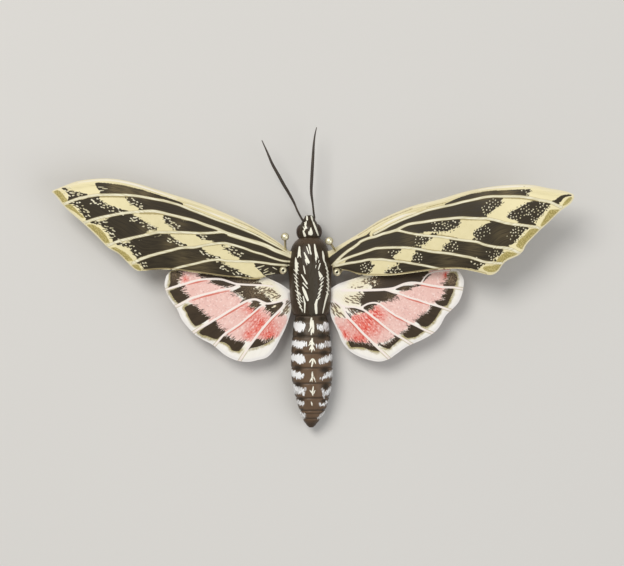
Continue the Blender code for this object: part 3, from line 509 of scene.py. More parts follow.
# Tan fields along the outer margin of the forewings.
MARGINS = {
    "left_forewing": (
        (
            (-44.4, 16.7), (-43.8, 17.05), (-43.2, 16.84), (-42.5, 16.0), (-42, 15.3), (-42.2, 15.0),
            (-42.85, 14.83), (-43.2, 15.4), (-43.8, 16.05),
        ),
        (
            (-42.5, 14.3), (-41.9, 14.47), (-41.3, 14.4), (-40.4, 13.57), (-39.75, 12.8), (-39.1, 12.2),
            (-39.4, 12.07), (-40, 12.5), (-40.8, 13.17), (-41.7, 13.73),
        ),
        (
            (-38.7, 10.85), (-37.9, 10.97), (-37.15, 10.68), (-36.2, 10.0), (-35.4, 9.04), (-34.9, 8.1),
            (-34.8, 7.7), (-35.6, 7.63), (-36.2, 8.2), (-37, 9.2), (-37.8, 10.0),
        ),
        (
            (-34.7, 6.8), (-33.7, 6.87), (-32.9, 6.43), (-32, 5.9), (-31.2, 5.1), (-30.8, 4.5),
            (-31.5, 4.4), (-32.2, 4.67), (-33.1, 5.5), (-33.9, 6.2),
        ),
        (
            (-31.15, 3.65), (-30.1, 3.84), (-29.6, 3.3), (-29.35, 2.74), (-30.1, 2.9), (-30.8, 3.3),
        ),
    ),
    "right_forewing": (
        (
            (43.9, 12.9), (44.4, 13.5), (45.0, 13.95), (45.4, 13.95), (45.2, 13.4), (44.7, 12.85),
            (44.1, 12.5), (43.7, 12.5),
        ),
        (
            (41.6, 11.8), (43, 11.85), (43.2, 11.65), (42.35, 10.75), (41, 9.5), (40.2, 9.0), (39.9, 9.2),
            (40.4, 10.1), (41.05, 11.15),
        ),
        (
            (38.2, 8.57), (39.4, 8.6), (39.8, 8.5), (39, 7.7), (37.8, 6.6), (37, 5.6), (36.75, 5.15),
            (36.2, 5.3), (35.7, 5.7), (36.1, 6.6), (37.1, 7.5),
        ),
        (
            (33.9, 4.75), (34.9, 4.67), (35.8, 4.4), (35.5, 4.05), (34.5, 3.75), (33.7, 3.23),
            (33.15, 2.84), (32.3, 3.07), (32.7, 3.8),
        ),
        (
            (30.3, 2.3), (31.6, 2.45), (33.1, 2.7), (32.9, 2.0), (32.1, 1.37), (31.2, 1.26),
            (30.25, 1.56),
            (29.95, 1.97),
        ),
    ),
}

# Soft tan and olive lines that shade the veins and the leading edge: (width, points).
SHADOWS = {
    "left_forewing": (
        (0.34, ((-38, 15.75), (-35.6, 15.75), (-33.5, 15.7), (-31.5, 15.6), (-29, 15.5))),
        (0.3, ((-29.4, 12.7), (-26, 12.55), (-23.5, 12.1))),
        (0.34, ((-24, 9.15), (-21.5, 9.05), (-19.6, 9.0))),
        (0.4, ((-21.5, 6.6), (-20, 6.62), (-18, 6.95), (-15, 7.2))),
        (0.4, ((-21, 3.6), (-19, 4.0), (-17, 4.4), (-15, 4.2))),
        (0.13, ((-13.0, 11.2), (-10, 9.85), (-8, 8.68), (-6, 7.4), (-4.8, 6.5))),
        (0.22, ((-8.2, 7.62), (-7.4, 7.15), (-6, 6.4), (-5, 5.83), (-4, 5.38), (-3.4, 5.12))),
        (0.5, ((-10.2, 0.95), (-9, 0.8), (-8, 1.1))),
    ),
    "right_forewing": (
        (0.34, ((33, 14.15), (35, 14.05), (37, 13.9), (38.8, 13.55), (40, 13.25))),
        (0.3, ((25.5, 10.6), (28, 10.45), (30.5, 10.35), (33, 9.8))),
        (0.34, ((21, 7.95), (23, 7.75), (25, 7.4))),
        (0.4, ((15.5, 5.9), (18, 5.75), (20.5, 5.3), (23, 4.9))),
        (0.4, ((13, 3.9), (15.5, 3.6), (18, 3.2))),
        (0.14, ((8.5, 8.15), (11, 9.6), (14, 11.1), (18, 12.6))),
        (0.12, ((20.5, 12.7), (22, 13.1), (23.8, 13.5))),
    ),
}

# Whitish lines in the leading edge: (width, points).
GLEAMS = {
    "left_forewing": (
        (0.4, ((-40, 18.3), (-37, 18.65), (-34.5, 18.6), (-31, 17.95), (-26.6, 16.45), (-23, 15.1))),
        (0.22, ((-21.5, 14.2), (-18, 12.9), (-14.5, 11.5), (-11, 9.75))),
    ),
    "right_forewing": (
        (0.36, ((11.6, 9.1), (14.2, 10.45), (16.4, 11.4), (18.6, 11.9))),
        (0.3, ((20, 13.35), (22, 14.0), (24.4, 14.55))),
        (0.5, ((29.5, 15.65), (32.7, 16.0), (36, 16.1), (39.5, 15.95))),
    ),
}

# Pink part of the hindwings, its red places: (centre x, centre y, radius, strength), and its red
# lines beside the veins.
BLUSH = {
    "left_hindwing": (
        (-22.8, 3.2), (-19.0, 3.0), (-18.0, 1.5), (-17.5, 0.9), (-14.5, -0.6), (-13, -1.5), (-12, -2.6),
        (-10.5, -3.1),
        (-9, -3.5), (-7.8, -4.1), (-6.8, -4.7), (-5.8, -5.1), (-5.0, -5.3), (-4.2, -5.6), (-4.1, -6.6),
        (-5.0, -8.2), (-6.0, -9.5),
        (-8.5, -9.9), (-10.5, -10.1), (-13, -9.9), (-15, -8.8), (-17.5, -6.7), (-19, -5.2), (-21, -3.2),
        (-22.3, -1.5), (-22.8, 0.4),
    ),
    "right_hindwing": (
        (24.4, 2.6), (21.4, 2.8), (20.6, 1.2), (19.0, 0.1), (17.5, -1.0), (15, -2.0), (13.5, -3.2),
        (11.5, -3.7),
        (10.2, -4.5), (9.2, -4.8), (8.1, -5.2), (7.1, -5.8), (6.3, -6.3), (5.4, -6.1), (4.3, -5.8),
        (4.1, -6.8),
        (5.1, -8.6), (6.1, -10.3), (8, -10.8), (10, -10.9), (12, -10.9), (14, -10.2), (15.6, -9.2),
        (17.2, -8.2), (18.6, -7.0), (20.2, -5.8), (21.2, -4.4), (23.0, -3.4), (23.8, -1.6), (24.2, 0),
    ),
}
RED_PLACES = {
    "left_hindwing": (
        (-21.8, 1.1, 0.6, 0.6), (-8.65, -6.95, 0.7, 1.0), (-9.35, -7.9, 0.8, 0.8),
        (-11.0, -8.9, 0.8, 0.8),
        (-10.3, -8.3, 0.9, 0.5), (-7.2, -9.2, 0.9, 0.95), (-8.4, -8.9, 0.8, 0.5), (-9.6, -4.8, 0.8, 0.55),
        (-10.6, -4.4, 0.8, 0.6), (-8.7, -6.4, 1.3, 0.5), (-10.4, -6.4, 1.2, 0.45), (-6.8, -8.0, 1.5, 0.5),
        (-7.2, -6.8, 0.8, 0.3), (-11.9, -4.2, 0.9, 0.25),
    ),
    "right_hindwing": (
        (23.7, 0.9, 0.5, 0.9), (9.2, -7.2, 1.9, 0.7), (9.55, -7.9, 0.8, 0.9), (7.8, -6.6, 1.2, 0.6),
        (6.0, -9.2, 0.9, 0.85), (8.8, -9.9, 1.0, 0.85), (7.7, -9.8, 0.8, 0.6), (11.3, -5.3, 0.9, 0.95),
        (12.4, -5.9, 1.0, 0.55), (10.5, -6.4, 0.8, 0.9), (5.1, -8.2, 0.9, 0.4), (11.0, -8.4, 1.4, 0.5),
    ),
}
RED_LINES = {
    "left_hindwing": (
        ((-21.5, 0.1), (-20.2, 0.42), (-19, 0.68), (-18, 0.75)),
        ((-20.7, -2.67), (-19, -2.1), (-17.2, -1.68), (-15.4, -1.3), (-14.2, -1.1)),
        ((-16.4, -6.2), (-15, -5.42), (-13.8, -4.72), (-12.5, -3.98), (-11.6, -3.5), (-11.0, -3.2)),
        ((-14.6, -8.65), (-13.2, -7.8), (-11.9, -6.85), (-10.65, -5.85), (-9.6, -4.98), (-8.9, -4.45)),
        ((-5.3, -4.9), (-6.2, -5.75), (-7.1, -6.65), (-7.9, -7.55), (-8.6, -8.4)),
    ),
    "right_hindwing": (
        ((18.5, -0.68), (20, -0.85), (21.5, -1.2), (23, -1.46)),
        ((16.2, -2.72), (17.2, -3.12), (18.2, -3.42), (19.4, -3.82), (20.7, -4.28)),
        ((13.4, -5.3), (14, -5.7), (15, -6.35), (16, -6.88), (16.9, -7.36)),
        ((9.6, -5.5), (10.4, -6.15), (11.2, -6.8), (12.5, -7.9), (13.6, -8.7)),
        ((6.4, -6.5), (7.2, -7.3), (8.0, -8.2), (9, -9.3), (9.8, -10.1)),
    ),
}
# Where the brushed lines of a hindwing would meet.
WING_PIVOTS = {"left_hindwing": (-2.6, 0.6), "right_hindwing": (2.6, 0.6)}
# Yellowish places on the hindwings, and places where the brown of a wing is thin and pale.
STRAW_PLACES = {
    "left_hindwing": (
        (-8.2, -0.9, 1.3, 0.7), (-6.8, -1.6, 1.3, 0.8), (-6.1, -2.3, 0.8, 0.8), (-9.4, 0.7, 0.9, 0.7),
        (-4.2, -4.6, 0.6, 0.8), (-7.2, 0.2, 1.1, 0.5), (-12.0, -11.6, 0.9, 0.4), (-11.5, 0.3, 1.0, 0.5),
    ),
    "right_hindwing": (
        (8.2, -2.9, 1.5, 0.8), (6.4, -2.9, 1.2, 0.7), (9.6, 0.1, 1.6, 0.8), (7.6, -0.4, 1.3, 0.7),
        (4.4, -4.7, 0.8, 1.0), (5.2, -5.6, 0.7, 0.9), (4.6, -2.2, 1.0, 0.4), (12.6, -12.2, 1.0, 0.35),
    ),
}
FADED_PLACES = {
    "left_forewing": (
        (-31.5, 16.9, 1.6, 0.9), (-28.5, 16.3, 1.2, 0.8), (-33.8, 17.2, 1.3, 0.8), (-22.0, 4.6, 1.6, 0.5),
        (-19.0, 2.6, 1.8, 0.6), (-24.5, 7.2, 1.2, 0.5), (-22.5, 10.6, 1.1, 0.4), (-28.6, 10.0, 1.0, 0.4),
    ),
    "right_forewing": (
        (34.5, 15.1, 1.6, 0.9), (30.5, 14.9, 1.6, 0.6), (17.5, 7.0, 1.5, 0.4), (24.0, 3.2, 2.0, 0.4),
        (28.5, 5.5, 1.6, 0.4), (33.5, 7.6, 1.6, 0.4), (12.6, 4.8, 1.3, 0.3),
    ),
    "left_hindwing": (
        (-23.6, 1.9, 1.0, 0.6), (-9.9, -1.6, 1.6, 0.55), (-8.2, -2.2, 0.8, 0.5), (-12.2, 0.8, 1.3, 0.4),
        (-10.2, 0.8, 1.2, 0.5), (-6.0, -4.1, 0.7, 0.4), (-9.7, -3.6, 0.7, 0.4),
    ),
    "right_hindwing": (
        (24.6, 0.6, 1.4, 1.0), (11.6, 0.2, 1.0, 0.4), (14.0, -2.7, 0.9, 0.4), (16.5, -1.3, 0.8, 0.4),
    ),
}
# Which way the strokes at a forewing's ragged edges run, in degrees.
FORE_GRAIN = {"left_forewing": 164.0, "right_forewing": 20.0}
# Strokes at ragged edges, the dark ones and then the light ones: (how many a mm; start, length and
# width ranges in mm; lean in radians; how far apart they are in mm).
FORE_STROKES = {
    "left_forewing": (
        (2.4, (-0.15, 0.1), (0.3, 0.6), (0.13, 0.18), 0.4, 0.36),
        (3.4, (0.0, 0.95), (0.1, 0.55), (0.2, 0.3), 0.5, 0.42),
    ),
    "right_forewing": (
        (3.0, (-0.1, 0.3), (0.05, 0.25), (0.14, 0.2), 1.2, 0.34),
        (6.5, (-0.1, 1.7), (0.02, 0.2), (0.19, 0.28), 1.2, 0.4),
    ),
}
HIND_STROKES = (
    (3.8, (-0.25, 0.05), (0.35, 0.85), (0.11, 0.17), 0.3, 0.18),
    (3.0, (-0.1, 0.1), (0.2, 0.5), (0.08, 0.12), 0.3, 0.24),
)
# Where the outer margin of a forewing turns into its rear edge, in mm from the middle.
REAR_CORNER = {"left_forewing": 29.6, "right_forewing": 31.0}
# Strewn strokes: (paint, centre, reach, angle, count, length, width, lean).
SCATTERED = {
    "left_forewing": (),
    "right_forewing": (
        ("light", (14.7, 2.1), (1.2, 0.55), 30, 9, (0.02, 0.2), (0.19, 0.26), 1.0),
    ),
    "left_hindwing": (
        ("umber", (-8.0, -1.2), (1.5, 0.7), 10, 16, (0.15, 0.4), (0.1, 0.15), 0.8),
        ("light", (-9.2, -1.2), (0.9, 0.6), 20, 8, (0.05, 0.3), (0.12, 0.2), 0.8),
        ("light", (-12.1, -1.6), (0.5, 0.35), 10, 4, (0.1, 0.3), (0.12, 0.18), 0.5),
        ("dark", (-13.4, -1.5), (0.6, 0.6), 10, 7, (0.3, 0.6), (0.08, 0.13), 0.5),
        ("dark", (-9.4, 0.7), (0.6, 0.4), -30, 10, (0.1, 0.4), (0.1, 0.16), 0.9),
    ),
    "right_hindwing": (
        ("dark", (8.1, -5.15), (1.1, 0.5), -42, 24, (0.3, 0.7), (0.12, 0.18), 0.25),
        ("umber", (10.3, 0.1), (0.9, 0.8), 10, 16, (0.1, 0.35), (0.1, 0.17), 0.6),
        ("dark", (10.9, -0.1), (0.7, 0.7), 10, 9, (0.1, 0.3), (0.12, 0.2), 0.9),
        ("light", (11.4, 0.2), (0.8, 0.8), 10, 12, (0.05, 0.25), (0.18, 0.28), 0.9),
        ("dark", (10.2, -4.6), (0.7, 0.35), -40, 9, (0.2, 0.5), (0.1, 0.16), 0.5),
        ("dark", (14.6, -2.9), (1.3, 0.7), -30, 20, (0.3, 0.6), (0.09, 0.14), 0.5),
    ),
}
# Single strokes: (paint, width, strokes as from x, y, to x, y).
SINGLES = {
    "left_forewing": (
        ("light", 0.24, ((-9.45, 2.78, -8.0, 3.2),)),
        ("light", 0.16, ((-8.9, 2.45, -8.5, 2.6),)),
        ("light", 0.2, ((-8.0, 2.35, -7.3, 2.72), (-8.15, 1.9, -7.3, 2.25), (-7.9, 1.58, -6.15, 1.83))),
        ("light", 0.18, ((-6.5, 2.88, -5.75, 2.45),)),
        ("light", 0.12, ((-7.0, 1.95, -6.6, 2.02),)),
        ("dark", 0.24, ((-9.6, 3.05, -9.0, 3.2),)),
        ("light", 0.17, (
            (-36.61, 17.43, -35.59, 17.38), (-35.88, 17.15, -34.94, 17.1), (-36.47, 16.81, -35.6, 16.8),
        )),
        ("light", 0.28, ((-41.51, 16.53, -40.71, 16.43),)),
        ("light", 0.26, ((-40.2, 16.36, -39.72, 16.23),)),
        ("light", 0.3, ((-42.15, 17.65, -41.28, 17.2),)),
        ("dark", 0.5, ((-30.3, 8.1, -26.3, 8.85),)),
    ),
    "right_forewing": (
        ("dark", 0.26, ((11.1, 2.8, 11.25, 2.86),)),
        ("dark", 0.24, ((10.2, 1.5, 10.6, 1.75),)),
    ),
    "left_hindwing": (
        ("umber", 0.16, (
            (-8.98, -0.66, -8.76, -0.55), (-8.63, -0.75, -7.93, -0.81), (-8.2, -1.07, -7.67, -1.16),
            (-7.67, -1.18, -7.15, -1.09), (-6.71, -1.1, -6.19, -1.39), (-6.63, -1.53, -6.19, -1.47),
            (-6.19, -1.63, -5.74, -1.83), (-7.59, -1.52, -7.16, -1.7), (-6.9, -1.81, -6.46, -2.06),
            (-5.85, -2.2, -5.41, -2), (-6.38, -2.26, -5.86, -2.21), (-5.51, -2.38, -5.22, -2.09),
            (-7.43, -2.15, -7.08, -2.33), (-6.74, -2.51, -6.21, -2.35), (-6.04, -2.61, -5.6, -2.45),
        )),
        ("umber", 0.2, (
            (-7.15, -1.4, -6.83, -1.18), (-4.62, -3.41, -4.03, -3), (-4.59, -3.81, -3.73, -3.06),
            (-4.44, -4.19, -3.58, -3.34), (-4.8, -4.67, -4.05, -4.04), (-4.9, -5.07, -4.47, -4.69),
            (-4.2, -4.52, -3.77, -4.06), (-5.39, -5.54, -4.86, -5.07), (-5.22, -5.69, -4.6, -5.16),
            (-4.32, -5.27, -3.96, -4.81), (-4.51, -4.9, -4.15, -4.61), (-5.7, -5.75, -5.22, -5.41),
        )),
        ("ink", 0.22, (
            (-6.67, -2.9, -6.64, -2.92), (-7.37, -2.57, -7.3, -2.59), (-7.95, -1.99, -7.9, -2.02),
        )),
        ("ink", 0.18, ((-4, -3.38, -3.92, -3.34),)),
        ("ink", 0.2, ((-6.58, -4.3, -6.47, -4.29), (-7.75, -3.98, -7.68, -4))),
        ("light", 0.32, ((-8.55, -1.2, -8.32, -1.06),)),
        ("light", 0.2, (
            (-8.12, -1.59, -7.86, -1.7), (-7.72, -1.85, -7.41, -2.06), (-9.2, -1.54, -9.08, -1.52),
            (-6.79, -4.16, -6.13, -3.96),
        )),
        ("light", 0.24, ((-6.3, -2.8, -5.81, -2.65),)),
        ("light", 0.14, ((-6.48, -3.9, -6.1, -3.8),)),
    ),
    "right_hindwing": (
        ("ink", 0.15, ((6.15, -5.05, 6.55, -5.7),)),
        ("ink", 0.12, ((6.55, -5.7, 7.05, -6.25),)),
        ("umber", 0.18, (
            (3.57, -3.57, 3.84, -4.28), (3.83, -3.56, 4.54, -4.46), (4.27, -3.57, 5.15, -4.49),
            (4, -4.1, 4.7, -5.01), (3.64, -4.52, 4.15, -5.17), (3.89, -5.15, 4.23, -5.75),
            (4.37, -4.95, 5.11, -5.54), (4.5, -5.51, 5.12, -6.14), (5.11, -5.26, 5.65, -5.73),
            (5.43, -5.5, 5.99, -6.17), (7.2, -0.86, 7.37, -0.83),
        )),
        ("umber", 0.17, (
            (6.13, -2.7, 6.75, -3.04), (6.12, -3.27, 6.65, -3.54), (6.9, -2.41, 7.46, -2.56),
            (7.71, -2.37, 8.16, -2.54), (7.26, -2.84, 7.96, -2.92), (6.91, -3.11, 7.45, -3.35),
            (7.25, -3.57, 7.79, -3.67), (7.78, -3.14, 8.32, -3.33), (8.14, -2.78, 8.59, -2.99),
            (8.15, -2.08, 8.6, -2.23), (8.68, -2.01, 9.22, -2.28), (7.95, -3.67, 8.49, -3.84),
            (6.44, -4.4, 6.8, -5.05), (6.71, -4.31, 7.24, -4.97), (6.96, -4.69, 7.41, -5.33),
            (7.27, -4.52, 7.8, -5.16), (6.01, -4.21, 6.21, -4.53), (7.39, -5.31, 7.91, -5.67),
            (8.26, -0.86, 8.72, -0.96), (8.7, -0.89, 9.25, -0.79), (9.07, 0.09, 9.53, 0.22),
            (10.12, 0.21, 10.75, 0.05), (7.82, -1.06, 7.96, -1.06),
        )),
        ("dark", 0.22, (
            (9.45, -1.95, 9.56, -1.94), (8.74, -2.53, 8.84, -2.57), (9.07, -2.73, 9.16, -2.7),
            (8.57, -3.05, 8.71, -3.01),
        )),
        ("dark", 0.2, ((7.28, -4.71, 7.37, -4.76),)),
        ("dark", 0.16, ((6.79, -5.38, 7.13, -6.02),)),
        ("dark", 0.14, ((7.13, -5.32, 7.49, -5.68),)),
        ("light", 0.24, ((7.7, -3.51, 7.82, -3.71),)),
        ("light", 0.3, ((8.22, -5.46, 8.61, -5.61),)),
        ("light", 0.22, ((8.79, -5.33, 8.96, -5.43),)),
    ),
}
# How much the tan line along the rear edge gives way towards the root, in mm.
HEM_ROOT = {"left_forewing": 2.0, "right_forewing": 0.15}
# Spans over which a painted change runs, in mm from the middle or from a hindwing's pivot.
APEX_SPAN = (28.0, 37.0)
CORNER_HALF = 0.6
FAR = 2.0  # a distance in mm at which an edge no longer shows
OVERRUN = 0.7  # how much of its last step a hindwing vein runs on
HEM_SPAN = (9.0, 7.0)
OUTER_SPAN = (9.0, 12.0)

# ---------------------------------------------------------------- body, in mm
ROUNDNESS = 2.2  # the power of the rounded cross-sections
RING_STEP = 0.07
CAP_PARTS = (0.02, 0.35, 0.7)  # how wide the rings that close an end are
UPPER = 1.5  # marks seen from above lie within this angle of the top, in radians
# Rings: (y, half width, low, high).
THORAX_RINGS = (
    (8.0, 1.3, 2.4, 4.9), (7.75, 2.0, 1.4, 5.9), (6.95, 2.82, 0.5, 6.7), (5.9, 3.28, -0.1, 7.15),
    (4.6, 3.55, -0.3, 7.4), (3.4, 3.78, -0.35, 7.5), (2.3, 3.86, -0.35, 7.5), (1.0, 3.72, -0.35, 7.45),
    (-0.5, 3.66, -0.35, 7.3), (-2.0, 3.64, -0.35, 7.1), (-3.6, 3.5, -0.35, 6.85),
    (-4.8, 3.34, -0.35, 6.6), (-5.45, 3.1, -0.3, 6.35), (-5.7, 2.6, 0.0, 5.9),
)
HEAD_RINGS = (
    (7.4, 1.7, 1.8, 4.9), (8.0, 1.9, 1.5, 5.15), (8.5, 1.98, 1.4, 5.35), (9.1, 1.92, 1.4, 5.45),
    (9.8, 1.72, 1.6, 5.4),
    (10.6, 1.36, 2.0, 5.1), (11.3, 0.92, 2.5, 4.8), (11.75, 0.68, 2.9, 4.5), (11.9, 0.4, 3.2, 4.2),
)
EYE_CENTRE = (1.24, 9.0, 3.5)
EYE_RADII = (1.04, 1.42, 1.1)
# The abdomen: (y, half width or height) from front to tip.
ABDOMEN_ENDS = (-5.45, -25.4)
ABDOMEN_STEPS = 190
ABDOMEN_WIDTHS = (
    (-6.0, 2.75), (-7.0, 3.08), (-10.7, 3.47), (-13.3, 3.66), (-15.9, 3.64), (-18.2, 3.41),
    (-20.6, 2.85), (-22.75, 2.2), (-24.15, 1.4), (-25.0, 0.8), (-25.4, 0.35),
)
ABDOMEN_TOPS = (
    (-6.0, 5.6), (-7.0, 6.1), (-10.7, 6.5), (-15.0, 6.5), (-18.2, 6.1), (-20.6, 5.5), (-22.75, 4.7),
    (-24.15, 3.9), (-25.4, 2.9),
)
ABDOMEN_UNDERSIDES = (
    (-6.0, -0.1), (-7.0, -0.3), (-18.2, -0.3), (-20.6, -0.1), (-22.75, 0.5), (-24.15, 1.1), (-25.4, 2.1),
)
GROOVES = (-9.3, -12.25, -14.8, -17.5, -20.1, -22.3, -23.75)
GROOVE_DEPTH = 0.16
GROOVE_WIDTH = 0.28
LAST_LINE = -22.82  # a painted line with no groove
TIP_BEND = 0.32  # the tip lies this far to the left
TIP_BEND_SPAN = (-21.5, -25.4)

# How the photo lies over the object: mm to a pixel, the pixel at the origin, and its turn in radians.
PIXEL = 0.175
CENTRE = (310.2, 283.0)
TURN = 0.0194
# Cream brush strokes on the body: (x, y) to (x, y) and widths at both ends, in the photo's pixels.
THORAX_STROKES = (
    (299.5, 247.0, 299.2, 254.8, 1.5, 3.0), (299.0, 254.5, 297.6, 257.8, 2.2, 0.8),
    (300.0, 255.0, 301.0, 257.5, 1.4, 0.6), (295.7, 257.9, 296.3, 264.0, 1.0, 2.8),
    (296.2, 263.0, 296.6, 270.6, 2.8, 2.6), (308.5, 244.5, 311.0, 254.2, 1.0, 1.3),
    (306.6, 246.8, 308.9, 253.6, 0.9, 1.2), (309.6, 245.2, 310.3, 249.0, 0.7, 0.6),
    (304.3, 252.7, 308.5, 262.4, 1.1, 2.6), (305.5, 259.8, 306.9, 264.9, 1.2, 0.8),
    (303.5, 265.5, 304.4, 270.0, 0.7, 1.2), (304.2, 269.0, 305.2, 273.8, 1.3, 0.9),
    (301.6, 274.8, 306.9, 283.6, 1.1, 1.7), (303.1, 283.0, 307.7, 288.3, 1.2, 0.9),
    (302.8, 287.3, 305.0, 292.5, 1.6, 3.0), (304.6, 291.5, 307.8, 300.0, 3.0, 2.0),
    (303.2, 296.2, 305.0, 304.0, 1.0, 1.6), (304.9, 303.0, 304.6, 312.5, 1.6, 0.9),
    (314.5, 244.5, 315.6, 252.0, 1.2, 2.4), (315.5, 251.5, 316.4, 259.8, 2.4, 1.2),
    (316.6, 252.5, 318.2, 258.2, 1.2, 0.7), (315.3, 258.0, 316.2, 262.6, 0.9, 0.5),
    (319.0, 260.4, 318.5, 262.8, 0.9, 0.6), (320.1, 263.6, 318.4, 269.4, 1.2, 0.9),
    (316.2, 265.2, 315.4, 268.2, 0.7, 0.5), (318.9, 271.4, 319.9, 276.4, 1.1, 1.7),
    (320.0, 272.8, 322.2, 276.6, 0.9, 1.2), (321.8, 275.6, 319.7, 279.6, 1.4, 1.0),
    (316.9, 299.4, 315.7, 305.0, 1.6, 2.6), (315.7, 304.0, 316.3, 313.0, 2.6, 2.2),
    (322.6, 251.3, 323.4, 256.0, 1.0, 2.2), (323.3, 255.5, 323.9, 260.6, 2.2, 1.4),
    (327.3, 294.0, 325.4, 301.0, 2.0, 1.5), (325.5, 300.2, 322.7, 312.9, 1.6, 0.9),
)
# Rows of short slanted strokes over a line: (slant from straight rearward in degrees, to the right;
# length, width and spacing of the strokes and width of the line in photo pixels; points).
THORAX_ROWS = (
    (41, 6.6, 1.25, 4.1, 0.9, (
        (296.5, 270.0), (296.1, 277.0), (296.8, 284.0), (297.6, 291.0), (298.3, 297.0), (299.6, 303.5),
        (302.6, 312.0),
    )),
    (38, 4.8, 1.0, 3.8, 0.3, ((299.4, 291.5), (300.8, 298.0), (302.6, 304.0))),
    (-44, 6.2, 1.25, 4.1, 0.8, (
        (322.4, 277.5), (321.3, 284.5), (320.0, 290.5), (318.8, 296.0), (317.2, 301.0),
    )),
    (38, 4.8, 1.2, 3.8, 1.2, (
        (324.4, 261.0), (326.7, 268.0), (327.7, 274.0), (328.1, 281.3), (328.1, 288.5), (327.2, 294.8),
    )),
    (46, 3.0, 0.9, 3.4, 0.3, ((297.9, 261.5), (298.1, 267.0), (298.2, 271.5))),
)
HEAD_STROKES = (
    (306.9, 216.0, 307.1, 219.6, 1.3, 1.8), (306.2, 221.4, 305.3, 226.4, 1.2, 1.7),
    (304.5, 224.4, 306.7, 228.2, 0.9, 1.4), (305.9, 226.6, 303.9, 231.2, 1.7, 1.2),
    (303.2, 231.0, 304.9, 235.6, 1.4, 2.5), (310.9, 227.6, 310.8, 233.4, 0.8, 4.1),
    (311.3, 216.1, 312.5, 219.8, 1.5, 1.8), (312.3, 219.2, 315.3, 227.6, 1.1, 1.9),
    (315.0, 226.6, 318.2, 235.2, 2.0, 1.3), (308.5, 231.2, 308.2, 235.4, 0.4, 0.6),
    (304.2, 221.6, 305.4, 224.6, 0.7, 1.0), (303.0, 226.4, 304.6, 229.6, 0.6, 1.0),
)
# Marks of the abdomen, in ninths of a photo pixel from this corner.
MARK_CORNER = (280.0, 305.0)
MARK_SCALE = 9.0
WHITE_PATCHES = (
    (
        (122, 148), (135, 155), (150, 150), (165, 158), (190, 150), (205, 160), (228, 162), (230, 200),
        (222, 215), (210, 220), (195, 240), (175, 242), (160, 235), (140, 232), (130, 210), (124, 180),
    ),
    (
        (115, 315), (130, 325), (150, 318), (170, 325), (195, 318), (215, 330), (235, 335), (232, 370),
        (215, 380), (195, 392), (175, 390), (155, 385), (130, 372), (112, 365), (110, 340),
    ),
    (
        (120, 440), (130, 455), (150, 450), (165, 440), (185, 445), (200, 452), (215, 455), (222, 485),
        (218, 510), (195, 522), (170, 525), (150, 520), (130, 505), (110, 500), (108, 470),
    ),
    (
        (108, 585), (125, 590), (140, 597), (155, 608), (175, 605), (195, 615), (208, 622), (210, 655),
        (190, 655), (175, 668), (155, 665), (140, 650), (120, 648), (110, 620),
    ),
    (
        (122, 715), (135, 725), (150, 745), (170, 735), (190, 745), (215, 750), (228, 745), (225, 800),
        (210, 808), (190, 800), (170, 805), (150, 798), (135, 785), (125, 760),
    ),
    (
        (150, 862), (170, 860), (190, 870), (212, 872), (215, 895), (200, 907), (180, 905), (160, 895),
        (150, 880),
    ),
    (
        (182, 955), (195, 958), (215, 975), (232, 990), (236, 1010), (225, 1025), (210, 1020),
        (195, 1000), (185, 980),
    ),
    (
        (335, 175), (350, 175), (365, 185), (380, 170), (395, 150), (410, 145), (418, 160), (430, 165),
        (432, 200), (428, 235), (410, 232), (395, 225), (375, 235), (350, 232), (335, 210),
    ),
    (
        (330, 352), (350, 345), (370, 345), (395, 338), (420, 325), (440, 325), (450, 345), (445, 372),
        (425, 375), (400, 378), (375, 385), (350, 392), (335, 380),
    ),
    (
        (350, 495), (365, 485), (385, 470), (405, 460), (430, 450), (455, 445), (468, 460), (470, 490),
        (450, 500), (425, 508), (400, 520), (375, 525), (358, 522),
    ),
    (
        (362, 655), (375, 640), (395, 628), (420, 610), (445, 600), (468, 585), (474, 610), (465, 635),
        (445, 650), (425, 655), (405, 665), (380, 668), (365, 668),
    ),
    (
        (370, 752), (385, 750), (395, 765), (410, 780), (430, 765), (450, 740), (465, 735), (468, 760),
        (455, 790), (430, 805), (405, 815), (400, 840), (390, 838), (388, 815), (375, 795),
    ),
    (
        (358, 882), (375, 890), (395, 885), (415, 870), (435, 862), (430, 885), (410, 900), (385, 908),
        (362, 908),
    ),
    (
        (398, 958), (405, 965), (395, 990), (380, 1010), (362, 1025), (345, 1028), (350, 1010),
        (370, 990), (385, 975),
    ),
)
# Cream strokes along the middle: (x0, y0, x1, y1, width).
MIDDLE_STROKES = (
    (284, 116, 276, 205, 20), (296, 140, 301, 235, 19), (275, 200, 258, 238, 10),
    (286, 215, 280, 268, 12),
    (300, 225, 301, 258, 10), (290, 298, 288, 404, 17), (284, 312, 264, 342, 10),
    (282, 338, 256, 364, 11),
    (284, 364, 266, 402, 11), (294, 328, 312, 362, 11), (294, 366, 313, 412, 11),
    (290, 385, 285, 422, 10),
    (292, 478, 264, 516, 13), (300, 484, 284, 552, 13), (304, 482, 323, 527, 13),
    (292, 595, 290, 655, 13),
    (298, 630, 321, 690, 10), (286, 650, 268, 690, 9), (291, 645, 291, 690, 8), (301, 728, 288, 800, 12),
    (268, 763, 290, 792, 10), (316, 763, 300, 800, 10), (293, 785, 296, 818, 9), (281, 868, 290, 905, 11),
)
# Blackish marks in front of the white patches: (x, y, half width, half height).
BLACK_MARKS = (
    (184, 126, 42, 24), (184, 266, 44, 30), (166, 422, 42, 24), (158, 566, 44, 30), (160, 716, 44, 28),
    (186, 846, 32, 18), (382, 126, 34, 24), (382, 276, 46, 30), (398, 430, 42, 26), (404, 580, 42, 30),
    (412, 730, 38, 34), (398, 862, 30, 18), (196, 945, 22, 14), (392, 945, 22, 14),
)

